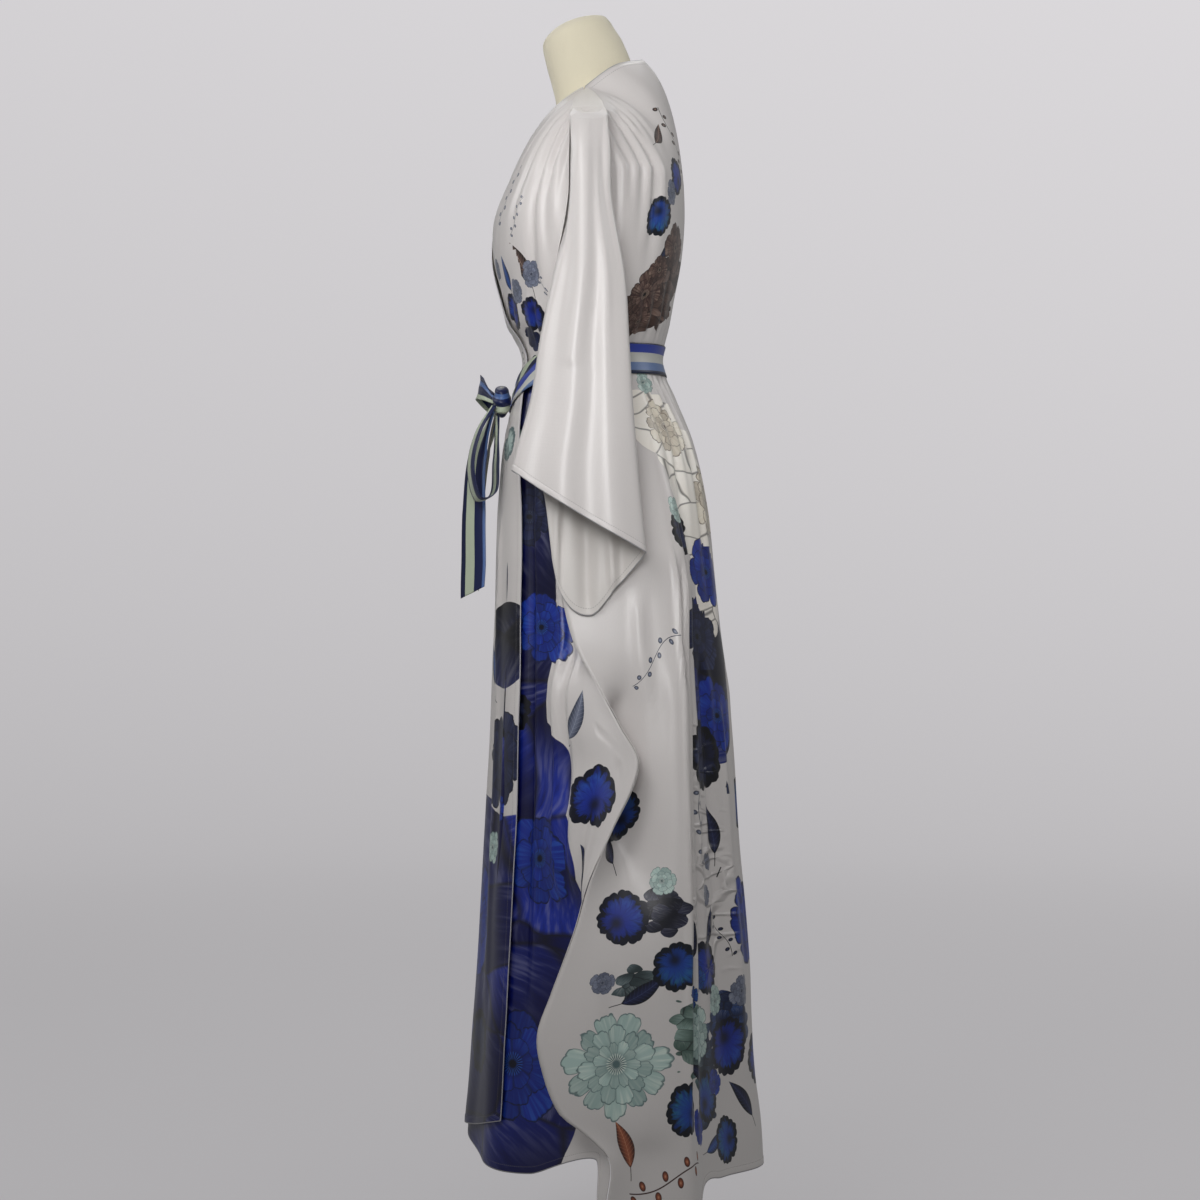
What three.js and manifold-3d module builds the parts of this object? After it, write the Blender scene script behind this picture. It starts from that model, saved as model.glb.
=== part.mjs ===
// A wide-sleeved wrap kaftan with its tied belt, worn by a limbless dress form on a pole and base.
// Millimetres, +Z up. The garment faces -Y and the wearer's left side is +X.
// The origin is the middle of the base's underside. The form and the gown are alike on both sides
// but for the wrap (right front over left front) and the tied belt.
import * as THREE from "three";
import { mergeVertices } from "three/addons/utils/BufferGeometryUtils.js";
import Module from "manifold-3d";

const wasm = await Module();
wasm.setup();

const CLOTH = 1.2; // thickness of a cloth wall
const SEAM = 0.3; // gap that two sewn pieces keep
const SHARE = 0.85; // exponent of the body's sections: 1 is an ellipse, less is squarer
const YOKE_Z = 1450; // above this height the gown closes over the shoulders
const HEM_RIPPLE = 12; // depth of the skirt's drape folds at the hem
const RIPPLES = 9; // drape folds round the whole skirt
const RIPPLE_TOP = 1120; // the drape folds run out at this height

// The gown's sections. front and back are the middles, side is the y of the widest place and half the half width.
// Below the waist each side has a wing, a flap of both layers: reach is the x of its outer seam, seam its y,
// frontTurn and backTurn the y where each layer turns towards the seam, fold the y of the standing fold behind it.
// tuck is 0 where the seam points forwards, under the back layer, and 1 where it points back, under the front layer.
const SECTIONS = [
  { z: 60, front: -215, back: 196, side: -10, half: 224, reach: 284, seam: -24, frontTurn: -52, backTurn: 26, tuck: 0.3, fold: 86 },
  { z: 149, front: -213, back: 193, side: -10, half: 221, reach: 282, seam: -21, frontTurn: -48, backTurn: 24, tuck: 0.3, fold: 85 },
  { z: 204, front: -210, back: 190, side: -10, half: 219, reach: 280, seam: -18, frontTurn: -30, backTurn: 20, tuck: 0.3, fold: 84 },
  { z: 234, front: -207, back: 187, side: -11, half: 218, reach: 278, seam: -46, frontTurn: -18, backTurn: 14, tuck: 0.1, fold: 82 },
  { z: 260, front: -205, back: 184, side: -11, half: 217, reach: 277, seam: -79, frontTurn: -22, backTurn: 0, tuck: 0, fold: 81 },
  { z: 323, front: -201, back: 180, side: -11, half: 215, reach: 275, seam: -103, frontTurn: -34, backTurn: -12, tuck: 0, fold: 80 },
  { z: 360, front: -198, back: 178, side: -11, half: 213, reach: 273, seam: -106, frontTurn: -38, backTurn: -14, tuck: 0, fold: 79 },
  { z: 405, front: -195, back: 176, side: -12, half: 211, reach: 270, seam: -90, frontTurn: -34, backTurn: -6, tuck: 0, fold: 78 },
  { z: 485, front: -190, back: 169, side: -12, half: 207, reach: 267, seam: -60, frontTurn: -38, backTurn: 6, tuck: 0.15, fold: 77 },
  { z: 546, front: -186, back: 163, side: -13, half: 203, reach: 265, seam: -42, frontTurn: -62, backTurn: 2, tuck: 0.55, fold: 75 },
  { z: 608, front: -182, back: 158, side: -13, half: 200, reach: 262, seam: -14, frontTurn: -58, backTurn: -22, tuck: 0.9, fold: 73 },
  { z: 689, front: -178, back: 152, side: -14, half: 196, reach: 256, seam: 19, frontTurn: -44, backTurn: -34, tuck: 1, fold: 71 },
  { z: 735, front: -176, back: 148, side: -15, half: 193, reach: 250, seam: -3, frontTurn: -56, backTurn: -28, tuck: 0.9, fold: 70 },
  { z: 782, front: -174, back: 144, side: -16, half: 190, reach: 242, seam: -29, frontTurn: -64, backTurn: 0, tuck: 0.55, fold: 69 },
  { z: 844, front: -172, back: 136, side: -18, half: 184, reach: 222, seam: -63, frontTurn: -46, backTurn: 4, tuck: 0.1, fold: 68 },
  { z: 931, front: -169, back: 126, side: -21, half: 176, reach: 208, seam: -79, frontTurn: -58, backTurn: -6, tuck: 0, fold: 66 },
  { z: 1023, front: -165, back: 114, side: -28, half: 174, reach: 196, seam: -66, frontTurn: -70, backTurn: -8, tuck: 0.3, fold: 50 },
  { z: 1103, front: -157, back: 96, side: -34, half: 165, reach: 173, seam: -44, frontTurn: -70, backTurn: -16, tuck: 0.5, fold: 22 },
  { z: 1160, front: -145, back: 72, side: -38, half: 144, reach: 144, seam: -38, frontTurn: -62, backTurn: -14, tuck: 0.5, fold: 8 },
  { z: 1211, front: -133, back: 53, side: -40, half: 130, reach: 130, seam: -40, frontTurn: -62, backTurn: -18, tuck: 0.5, fold: 0 },
  { z: 1237, front: -139, back: 57, side: -41, half: 133, reach: 133, seam: -41, frontTurn: -66, backTurn: -16, tuck: 0.5, fold: 4 },
  { z: 1260, front: -152, back: 63, side: -41, half: 153, reach: 153, seam: -41, frontTurn: -66, backTurn: -16, tuck: 0.5, fold: 4 },
  { z: 1291, front: -161, back: 69, side: -42, half: 163, reach: 163, seam: -42, frontTurn: -68, backTurn: -16, tuck: 0.5, fold: 6 },
  { z: 1349, front: -174, back: 80, side: -42, half: 174, reach: 174, seam: -42, frontTurn: -70, backTurn: -15, tuck: 0.5, fold: 9 },
  { z: 1404, front: -170, back: 84, side: -42, half: 180, reach: 180, seam: -42, frontTurn: -70, backTurn: -15, tuck: 0.5, fold: 10 },
  { z: 1460, front: -146, back: 83, side: -42, half: 184, reach: 184, seam: -42, frontTurn: -68, backTurn: -16, tuck: 0.5, fold: 9 },
];

// Heights of the rows of points in the gown's walls, read at the wing seam.
const LEVELS = [
  204, 234, 260, 300, 340, 380, 430, 485, 530, 575, 620, 655, 689, 735, 782, 844, 900, 960, 1023, 1063, 1103, 1150,
  1186, 1211, 1237, 1260, 1291, 1349, 1404, YOKE_Z,
];
const YOKE_ROWS = 4;
const YOKE_RISE = 0.8; // share of the yoke's height that is climbed before the cloth turns in
const YOKE_PULL = { front: 0.4, back: 0.15 }; // share of the depth that each side has come in by then

// Free edges of the two fronts: the angle round the body, from the middle of the front towards the edge's own side.
const WRAP_EDGES = [
  { z: 60, over: 45, under: 30 },
  { z: 1000, over: 45, under: 30 },
  { z: 1103, over: 38, under: 28 },
  { z: 1211, over: 26, under: 22 },
  { z: 1291, over: 9, under: 9 },
  { z: 1349, over: 0, under: 0 },
  { z: 1404, over: -4, under: -4 },
  { z: 1460, over: -8, under: -8 },
];
const UNDERLAP = 5; // the under front lies this far inside the over front
const UNDERLAP_END = 62; // angle at which the under front comes out to the gown's surface
const FRONT_SIDE = 60; // angle at which a front leaves the body for the wing
const BACK_SIDE = 130; // angle at which the back comes back from the wing
const WING_START = 30; // a wing this wide stands clear of the body

// The shoulder line runs from the neck point to the shoulder end, and the neckline from the neck point to the nape.
const NECK_POINT = new THREE.Vector3(66, -50, 1572);
const SHOULDER_END = new THREE.Vector3(186, -45, 1513);
const NECK_BACK_SIDE = new THREE.Vector3(56, -14, 1601);
const NAPE = new THREE.Vector3(0, 27, 1623);

// Hem heights: along each front from its free edge to the wing seam, and along the back from the wing seam to the middle.
const HEM = {
  over: [226, 198, 183, 178, 190, 96],
  under: [186, 178, 164, 164, 196, 96],
  back: [96, 84, 88, 158, 156, 153, 152, 152],
};

// The sleeve is a flat tube. Its head rises from the shoulder line: lift is the height above that line.
// Below, it hangs: inner and outer are the x of its two layers, front and back the y of its two folds.
const SLEEVE_HEAD = [
  { innerX: 78, innerLift: 1.6, outerX: 187, outerLift: 1.8, front: -51, back: -45 },
  { innerX: 98, innerLift: 5, outerX: 199, outerLift: 6, front: -59, back: -32 },
  { innerX: 146, innerLift: 8, outerX: 212, outerLift: 7, front: -64, back: -25 },
  { innerX: 188, innerLift: 7, outerX: 223, outerLift: 2, front: -67, back: -20 },
];
const SLEEVE_HANG = [
  { z: 870, inner: 222, outer: 273, front: -151, back: 34 },
  { z: 953, inner: 217, outer: 271, front: -147, back: 29 },
  { z: 1055, inner: 211, outer: 267, front: -138, back: 18 },
  { z: 1142, inner: 206, outer: 262, front: -117, back: 11 },
  { z: 1213, inner: 203, outer: 257, front: -106, back: 7 },
  { z: 1299, inner: 201, outer: 251, front: -88, back: 2 },
  { z: 1399, inner: 200, outer: 243, front: -70, back: -16 },
  { z: 1462, inner: 200, outer: 234, front: -68, back: -18 },
];
const SLEEVE_FOLDS = 5; // gathers that hang down the outer layer
const SLEEVE_FOLD_DEPTH = 5;
// The cuff's edge: straight along the outer layer from its front corner to its back one, and pointed on the inner layer.
const CUFF = { front: 1055, back: 953 };
const CUFF_INNER = [
  { y: -151, z: 1055 },
  { y: -104, z: 1030 },
  { y: -84, z: 915 },
  { y: -43, z: 874 },
  { y: -5, z: 912 },
  { y: 34, z: 953 },
];
const SLEEVE_COLUMNS = 28;
const SLEEVE_ROWS = 9;

// The belt is a flat band that dips to its knot in front.
const BELT = { width: 40, thick: 1.6, clear: 1.2, back: 1214, side: 1206, knot: 1166 };
const KNOT = { x: 26, y: -160.2, z: 1160, wide: 20, deep: 12, tall: 21 };

// The dress form's trunk, and the rings of its neck, which leans forwards.
const TRUNK = [
  { z: 762, front: -118, back: 92, side: -18, half: 118 },
  { z: 800, front: -128, back: 104, side: -18, half: 146 },
  { z: 900, front: -136, back: 112, side: -20, half: 160 },
  { z: 1023, front: -140, back: 98, side: -28, half: 152 },
  { z: 1130, front: -132, back: 62, side: -36, half: 130 },
  { z: 1211, front: -124, back: 44, side: -40, half: 121 },
  { z: 1291, front: -142, back: 58, side: -42, half: 134 },
  { z: 1360, front: -158, back: 68, side: -42, half: 146 },
  { z: 1404, front: -154, back: 74, side: -42, half: 156 },
  { z: YOKE_Z, front: -138, back: 76, side: -42, half: 168 },
];
const NECK_RINGS = [
  { z: 1550, y: -28, wide: 54, deep: 56, tilt: 0.5 },
  { z: 1594, y: -38, wide: 49, deep: 51, tilt: 0.5 },
  { z: 1630, y: -50, wide: 50, deep: 50, tilt: 0.4 },
  { z: 1657, y: -60, wide: 49, deep: 46, tilt: 0.32 },
  { z: 1669, y: -58, wide: 39, deep: 37, tilt: 0.28 },
  { z: 1677, y: -52, wide: 19, deep: 19, tilt: 0.2 },
];
const FORM_DROP = 1.1; // the form's shoulder line lies this far under the middle of the cloth
const FORM_RISE = 0.68; // the form's shoulders turn in lower than the cloth does
const POLE = { radius: 14, flange: 34, flangeHeight: 8 };
const BASE = { radius: 190, edge: 5, height: 8 };

const rad = THREE.MathUtils.degToRad;
const lerp = THREE.MathUtils.lerp;
const clamp = THREE.MathUtils.clamp;

// A table's row at a height, each column on a smooth curve through the rows. by names the column that is looked up.
function rowAt(table, value, by = "z") {
  const last = table.length - 1;
  const place = clamp(value, table[0][by], table[last][by]);
  let i = 0;
  while (i < last - 1 && table[i + 1][by] < place) i++;
  const [before, a, b, after] = [table[Math.max(i - 1, 0)], table[i], table[i + 1], table[Math.min(i + 2, last)]];
  const step = b[by] - a[by];
  const t = (place - a[by]) / step;
  const row = { [by]: value };
  for (const key of Object.keys(a)) {
    if (key === by) continue;
    const slopeA = a === before ? b[key] - a[key] : ((b[key] - before[key]) / (b[by] - before[by])) * step;
    const slopeB = b === after ? b[key] - a[key] : ((after[key] - a[key]) / (after[by] - a[by])) * step;
    row[key] =
      (2 * t ** 3 - 3 * t ** 2 + 1) * a[key] + (t ** 3 - 2 * t ** 2 + t) * slopeA +
      (3 * t ** 2 - 2 * t ** 3) * b[key] + (t ** 3 - t ** 2) * slopeB;
  }
  return row;
}

// A point on the body's section at an angle round it: 0 is the middle of the front and 180 the middle of the back.
function bodyPoint(row, angle, inset = 0) {
  const sine = Math.sin(rad(angle));
  const cosine = Math.cos(rad(angle));
  const wide = row.half - inset;
  const deep = (cosine > 0 ? row.side - row.front : row.back - row.side) - inset;
  const fade = clamp((RIPPLE_TOP - row.z) / RIPPLE_TOP, 0, 1);
  const ripple = row.reach ? (HEM_RIPPLE * fade * (Math.cos(rad(angle * RIPPLES)) - 1)) / 2 : 0;
  return new THREE.Vector3(
    Math.sign(sine) * (wide + ripple) * Math.abs(sine) ** SHARE,
    row.side - Math.sign(cosine) * (deep + ripple) * Math.abs(cosine) ** SHARE,
    row.z,
  );
}

// A wing's point at a share of its width, which comes back to the body's own surface where there is no wing.
function wingPoint(row, share, y, angle) {
  const span = row.reach - row.half;
  const out = new THREE.Vector3(row.half + span * share, y, row.z);
  return bodyPoint(row, angle).lerp(out, clamp(span / WING_START, 0, 1));
}

// The end of a layer at the wing seam, half a cloth and half a gap from the other layer's end.
function wingSeam(row, layer) {
  const apart = (CLOTH + SEAM) / 2;
  const seam = wingPoint(row, 1, row.seam, 90);
  return seam.add(new THREE.Vector3(layer * (1 - 2 * row.tuck) * apart * 1.2, layer * apart * 0.7, 0));
}

// A point of a front's section. Stations 0 to 3 go round the body from the free edge, 4 is the turn and 5 the wing seam.
function frontSection(z, edge, under, station) {
  const row = rowAt(SECTIONS, z);
  const start = -rowAt(WRAP_EDGES, z)[edge];
  const body = (angle) => {
    const inset = under ? UNDERLAP * clamp((UNDERLAP_END - angle) / 12, 0, 1) * clamp((1400 - z) / 80, 0, 1) : 0;
    return bodyPoint(row, angle, inset);
  };
  if (station <= 3) return body(lerp(start, FRONT_SIDE, station / 3));
  const turn = wingPoint(row, lerp(0.35, 0.75, row.tuck), row.frontTurn, 76);
  return through([body(FRONT_SIDE - 12), body(FRONT_SIDE), turn, wingSeam(row, -1)], station - 2);
}

// A point of the back's section, from the wing seam at station 0 to the middle at station 7.
function backSection(z, station) {
  const row = rowAt(SECTIONS, z);
  if (station >= 4) return bodyPoint(row, lerp(BACK_SIDE, 180, (station - 4) / 3));
  return through(
    [
      wingSeam(row, 1),
      wingPoint(row, lerp(1, 0.15, row.tuck), row.backTurn, 101),
      wingPoint(row, 0.6, row.fold, 112),
      wingPoint(row, -0.1, row.fold + 18, 121),
      bodyPoint(row, BACK_SIDE),
    ],
    station,
  );
}

// A smooth curve through points, read at evenly numbered stations: station 1.5 lies between points 1 and 2.
function through(points, station) {
  const curve = new THREE.CatmullRomCurve3(points, false, "centripetal");
  return curve.getPoint(clamp(station / (points.length - 1), 0, 1));
}

// A place on the shoulder line: share 0 is the neck point and 1 the shoulder end.
const onShoulder = (share) => new THREE.Vector3().lerpVectors(NECK_POINT, SHOULDER_END, share);

// The top edges at the same stations as the sections, a little to each side of the shoulder line.
const shoulderEdge = (share, side) => onShoulder(share).add(new THREE.Vector3(0, side * (CLOTH + SEAM) * 0.45, 0));
const frontTop = (station) => shoulderEdge(station / 5, -1);
const backTop = (station) =>
  station <= 5
    ? shoulderEdge(1 - station / 5, 1)
    : through([shoulderEdge(0.1, 1), shoulderEdge(0, 1), NECK_BACK_SIDE, NAPE], station - 4);

// A point between the yoke's section and the top edge: the cloth rises, then turns in over the shoulder.
function yokePoint(from, to, pull, rise, share) {
  const over = new THREE.Vector3(lerp(from.x, to.x, 0.6), lerp(from.y, to.y, pull), lerp(from.z, to.z, rise));
  return new THREE.QuadraticBezierCurve3(from, over, to).getPoint(share);
}

// The grid of points of a panel, row by row from the hem up. hem lists the hem's height at each whole station.
function panelGrid({ section, top, pull, hem, stations }) {
  const hemLine = new THREE.CatmullRomCurve3(hem.map((z, i) => new THREE.Vector3(i * 60, 0, z)));
  const hemAt = (station) => hemLine.getPoint(station / (hem.length - 1)).z;
  const low = LEVELS[0];
  const rows = [stations.map((s) => section(hemAt(s), s))];
  rows.push(stations.map((s) => section((hemAt(s) + Math.max(low, hemAt(s) + 40)) / 2, s)));
  for (const level of LEVELS) {
    const down = (YOKE_Z - level) / (YOKE_Z - low);
    rows.push(stations.map((s) => section(level + down ** 4 * Math.max(0, hemAt(s) + 40 - low), s)));
  }
  for (let i = 1; i <= YOKE_ROWS; i++)
    rows.push(stations.map((s) => yokePoint(section(YOKE_Z, s), top(s), pull, YOKE_RISE, i / YOKE_ROWS)));
  return rows;
}

// Evenly spaced stations: counts holds how many steps lie between each point of a section and the next.
function stationsOf(counts) {
  return [0, ...counts.flatMap((count, i) => Array.from({ length: count }, (_, k) => i + (k + 1) / count))];
}

// A closed cloth wall over a grid of rows of points, with its outer face on the side of the rows' right-hand normal.
// closed joins the last column to the first.
function wall(grid, thick, closed = false, flip = false) {
  const rows = grid.length;
  const cols = grid[0].length;
  const wrap = (c) => (closed ? (c + cols) % cols : clamp(c, 0, cols - 1));
  const normal = (r, c) => {
    const up = new THREE.Vector3().subVectors(grid[Math.min(r + 1, rows - 1)][c], grid[Math.max(r - 1, 0)][c]);
    const along = new THREE.Vector3().subVectors(grid[r][wrap(c + 1)], grid[r][wrap(c - 1)]);
    return along.cross(up).normalize().multiplyScalar(flip ? -1 : 1);
  };
  const positions = [];
  for (const side of [1, -1])
    for (let r = 0; r < rows; r++)
      for (let c = 0; c < cols; c++)
        positions.push(...grid[r][c].clone().addScaledVector(normal(r, c), (side * thick) / 2));
  const at = (side, r, c) => (side * rows + r) * cols + wrap(c);
  const index = [];
  const quad = (a, b, c, d) => index.push(...(flip ? [a, c, b, a, d, c] : [a, b, c, a, c, d]));
  const lastCol = closed ? cols : cols - 1;
  for (let r = 0; r < rows - 1; r++)
    for (let c = 0; c < lastCol; c++) {
      quad(at(0, r, c), at(0, r, c + 1), at(0, r + 1, c + 1), at(0, r + 1, c));
      quad(at(1, r, c), at(1, r + 1, c), at(1, r + 1, c + 1), at(1, r, c + 1));
    }
  for (let c = 0; c < lastCol; c++) {
    quad(at(1, 0, c), at(1, 0, c + 1), at(0, 0, c + 1), at(0, 0, c));
    quad(at(0, rows - 1, c), at(0, rows - 1, c + 1), at(1, rows - 1, c + 1), at(1, rows - 1, c));
  }
  if (!closed)
    for (let r = 0; r < rows - 1; r++) {
      quad(at(0, r, 0), at(0, r + 1, 0), at(1, r + 1, 0), at(1, r, 0));
      quad(at(0, r, cols - 1), at(1, r, cols - 1), at(1, r + 1, cols - 1), at(0, r + 1, cols - 1));
    }
  const geometry = new THREE.BufferGeometry();
  geometry.setAttribute("position", new THREE.Float32BufferAttribute(positions, 3));
  geometry.setIndex(index);
  return geometry;
}

const mirrored = (grid) => grid.map((row) => row.map((p) => new THREE.Vector3(-p.x, p.y, p.z)));

// A front panel on the wearer's left; the right front is its mirror image.
function frontGrid(edge, under) {
  return panelGrid({
    section: (z, station) => frontSection(z, edge, under, station),
    top: frontTop,
    pull: YOKE_PULL.front,
    hem: HEM[edge],
    stations: stationsOf([3, 3, 3, 4, 3]),
  });
}

// The back in one piece, from the left wing seam round to the right one.
function backGrid() {
  const stations = stationsOf([3, 4, 2, 1, 2, 2, 2]);
  const grid = panelGrid({ section: backSection, top: backTop, pull: YOKE_PULL.back, hem: HEM.back, stations });
  return grid.map((row) => [...row, ...row.slice(0, -1).reverse().map((p) => new THREE.Vector3(-p.x, p.y, p.z))]);
}

// A sleeve on the wearer's left: a flat tube that hangs from the shoulder line, open at its slanted cuff.
function sleeveGrid() {
  const angles = Array.from({ length: SLEEVE_COLUMNS }, (_, c) => (c * 360) / SLEEVE_COLUMNS);
  const ridge = (x) => {
    const share = (x - NECK_POINT.x) / (SHOULDER_END.x - NECK_POINT.x);
    return lerp(NECK_POINT.z, SHOULDER_END.z, share);
  };
  const loop = (angle, inner, outer, front, back, fold) => {
    const sine = Math.sin(rad(angle));
    const cosine = Math.cos(rad(angle));
    const x = lerp(inner, outer, 0.5 + 0.5 * Math.sign(sine) * Math.abs(sine) ** 0.7);
    const y = lerp(back, front, 0.5 + 0.5 * cosine);
    const wave = sine > 0 ? -fold * sine * Math.cos(SLEEVE_FOLDS * Math.PI * (0.5 + 0.5 * cosine)) : 0;
    return [x + wave, y];
  };
  const head = SLEEVE_HEAD.map((row) =>
    angles.map((angle) => {
      const [x, y] = loop(angle, row.innerX, row.outerX, row.front, row.back, 0);
      const share = clamp((x - row.innerX) / (row.outerX - row.innerX), 0, 1);
      return new THREE.Vector3(x, y, ridge(x) + CLOTH * 0.5 + lerp(row.innerLift, row.outerLift, share));
    }),
  );
  const hemAt = (angle) => {
    const forward = 0.5 + 0.5 * Math.cos(rad(angle));
    if (angle <= 180) return lerp(CUFF.back, CUFF.front, forward);
    return rowAt(CUFF_INNER, lerp(CUFF_INNER.at(-1).y, CUFF_INNER[0].y, forward), "y").z;
  };
  const hang = Array.from({ length: SLEEVE_ROWS }, (_, r) =>
    angles.map((angle) => {
      const z = lerp(SLEEVE_HANG.at(-1).z, hemAt(angle), r / (SLEEVE_ROWS - 1));
      const row = rowAt(SLEEVE_HANG, z);
      const deep = SLEEVE_FOLD_DEPTH * clamp((1500 - z) / 200, 0, 1);
      return new THREE.Vector3(...loop(angle, row.inner, row.outer, row.front, row.back, deep), z);
    }),
  );
  return [...head, ...hang].reverse();
}

// The belt's middle height at an angle round the body, lowest at the knot.
function beltHeight(angle) {
  const away = Math.abs(((angle + 540) % 360) - 180);
  return away > 90 ? lerp(BELT.side, BELT.back, (away - 90) / 90) : lerp(BELT.knot, BELT.side, Math.sin(rad(away)));
}

// The band round the waist, just outside the gown.
function beltGrid() {
  const columns = 36;
  const rows = 3;
  return Array.from({ length: rows }, (_, r) =>
    Array.from({ length: columns }, (_, c) => {
      const angle = (c * 360) / columns;
      const middle = beltHeight(angle);
      const z = middle + BELT.width * (r / (rows - 1) - 0.5);
      const widest = Math.max(...[-0.5, 0, 0.5].map((s) => rowAt(SECTIONS, middle + s * BELT.width).half));
      const row = rowAt(SECTIONS, z);
      const flat = { ...row, half: Math.max(row.half, lerp(row.half, widest, 0.3)), reach: 0 };
      return bodyPoint(flat, angle, -BELT.clear - CLOTH / 2 - BELT.thick / 2);
    }),
  );
}

// A ribbon along stations: each has its middle, the direction across it and its width.
function ribbonGrid(stations, steps) {
  const middles = new THREE.CatmullRomCurve3(stations.map((s) => new THREE.Vector3(...s.at)), false, "centripetal");
  const rows = [];
  for (let i = 0; i <= steps; i++) {
    const place = (i / steps) * (stations.length - 1);
    const k = Math.min(Math.floor(place), stations.length - 2);
    const across = new THREE.Vector3(...stations[k].across)
      .lerp(new THREE.Vector3(...stations[k + 1].across), place - k)
      .normalize();
    const width = lerp(stations[k].width, stations[k + 1].width, place - k);
    const middle = middles.getPoint(i / steps);
    rows.push([-0.5, 0, 0.5].map((s) => middle.clone().addScaledVector(across, s * width)));
  }
  return rows;
}

// The bow's bands. A loop goes out from the knot and comes back to it; a tail hangs to its cut end.
const BOW = {
  belt_loop_left: {
    steps: 20,
    stations: [
      { at: [35.8, -170.8, 1153.2], across: [0.95, 0.3, 0], width: 14 },
      { at: [46, -192, 1118], across: [0.95, 0.3, 0], width: 32 },
      { at: [52, -202, 1068], across: [0.95, 0.3, 0], width: 37 },
      { at: [54, -190, 1027], across: [0.95, 0.3, 0.1], width: 37 },
      { at: [52, -172, 1034], across: [0.95, 0.3, 0.1], width: 37 },
      { at: [48, -168, 1078], across: [0.95, 0.3, 0], width: 34 },
      { at: [33, -166.2, 1140.2], across: [0.97, 0.24, 0], width: 12 },
    ],
  },
  belt_loop_right: {
    steps: 18,
    stations: [
      { at: [15.6, -172.4, 1165], across: [0, -0.15, 0.99], width: 14 },
      { at: [-14, -188, 1180], across: [0.3, 0.2, 0.92], width: 30 },
      { at: [-48, -194, 1184], across: [0.3, 0.2, 0.92], width: 36 },
      { at: [-72, -184, 1170], across: [0.35, 0, 0.92], width: 36 },
      { at: [-62, -170, 1158], across: [0.35, 0, 0.92], width: 34 },
      { at: [-22, -171, 1152], across: [0.3, 0.1, 0.95], width: 26 },
      { at: [8, -167.4, 1157], across: [0.1, 0.1, 0.99], width: 12 },
    ],
  },
  belt_tail_left: {
    steps: 14,
    stations: [
      { at: [23, -171.6, 1148], across: [1, 0, 0], width: 11 },
      { at: [14, -194, 1090], across: [0.45, 0.85, 0], width: 28 },
      { at: [11, -199, 1010], across: [0.4, 0.9, 0], width: 35 },
      { at: [11, -199, 940], across: [0.4, 0.9, 0.1], width: 37 },
      { at: [12, -200, 904], across: [0.4, 0.9, 0.45], width: 39 },
    ],
  },
  belt_tail_right: {
    steps: 14,
    stations: [
      { at: [12.6, -166.6, 1146.7], across: [0.9, -0.4, 0], width: 9 },
      { at: [-14, -182, 1090], across: [1, 0.15, 0], width: 30 },
      { at: [-30, -190, 1020], across: [1, 0.1, 0], width: 36 },
      { at: [-36, -194, 960], across: [1, 0, 0], width: 37 },
      { at: [-37, -195, 912], across: [1, 0, 0.3], width: 39 },
    ],
  },
};

function knotGeometry() {
  return new THREE.SphereGeometry(1, 16, 10).scale(KNOT.wide, KNOT.deep, KNOT.tall).translate(KNOT.x, KNOT.y, KNOT.z);
}

// A closed skin over rings of points, from the lowest up, with a fan at each end.
function skin(rings) {
  const count = rings[0].length;
  const points = [...rings.flat()];
  const middle = (ring) => ring.reduce((sum, p) => sum.add(p), new THREE.Vector3()).divideScalar(count);
  const bottom = points.push(middle(rings[0])) - 1;
  const top = points.push(middle(rings[rings.length - 1])) - 1;
  const index = [];
  for (let c = 0; c < count; c++) {
    const next = (c + 1) % count;
    for (let r = 0; r < rings.length - 1; r++) {
      const [a, b] = [r * count + c, r * count + next];
      index.push(a, b, b + count, a, b + count, a + count);
    }
    const high = (rings.length - 1) * count;
    index.push(next, c, bottom, high + c, high + next, top);
  }
  const geometry = new THREE.BufferGeometry();
  geometry.setAttribute("position", new THREE.Float32BufferAttribute(points.flatMap((p) => p.toArray()), 3));
  geometry.setIndex(index);
  return geometry;
}

// A place on the form's shoulder line, just under the cloth's and a little shorter at the shoulder end.
const formShoulder = (share) => onShoulder(share * 0.9).add(new THREE.Vector3(0, 0, -FORM_DROP));

// Columns of the trunk on one side: the angle round the body, and the place on the neck's foot or shoulder line above.
const TRUNK_COLUMNS = [
  { angle: 0, top: new THREE.Vector3(0, -78, 1552) },
  { angle: 16, top: new THREE.Vector3(42, -68, 1560) },
  ...[0, 0.25, 0.5, 0.75, 1].map((share, i) => ({ angle: 30 + 15 * i, top: formShoulder(share) })),
  ...[0.75, 0.5, 0.25, 0].map((share, i) => ({ angle: 106 + 16 * i, top: formShoulder(share) })),
  { angle: 167, top: new THREE.Vector3(46, -16, 1594) },
  { angle: 180, top: new THREE.Vector3(0, 17, 1612) },
];

function trunkGeometry() {
  const both = [
    ...TRUNK_COLUMNS.map((column) => ({ ...column, side: 1 })),
    ...TRUNK_COLUMNS.slice(1, -1).reverse().map((column) => ({ ...column, side: -1 })),
  ];
  const rings = TRUNK.map((row) => both.map(({ angle, side }) => bodyPoint(row, angle * side)));
  const base = rings[rings.length - 1];
  const steps = 4;
  for (let i = 1; i <= steps; i++)
    rings.push(
      both.map(({ angle, top, side }, c) => {
        const pull = angle < 90 ? YOKE_PULL.front : YOKE_PULL.back;
        return yokePoint(base[c], new THREE.Vector3(top.x * side, top.y, top.z), pull, FORM_RISE, i / steps);
      }),
    );
  return skin(rings);
}

function neckGeometry() {
  const columns = 24;
  return skin(
    NECK_RINGS.map(({ z, y, wide, deep, tilt }) =>
      Array.from({ length: columns }, (_, c) => {
        const angle = (c / columns) * Math.PI * 2;
        const back = -Math.cos(angle) * deep;
        return new THREE.Vector3(Math.sin(angle) * wide, y + back, z + tilt * back);
      }),
    ),
  );
}

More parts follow.
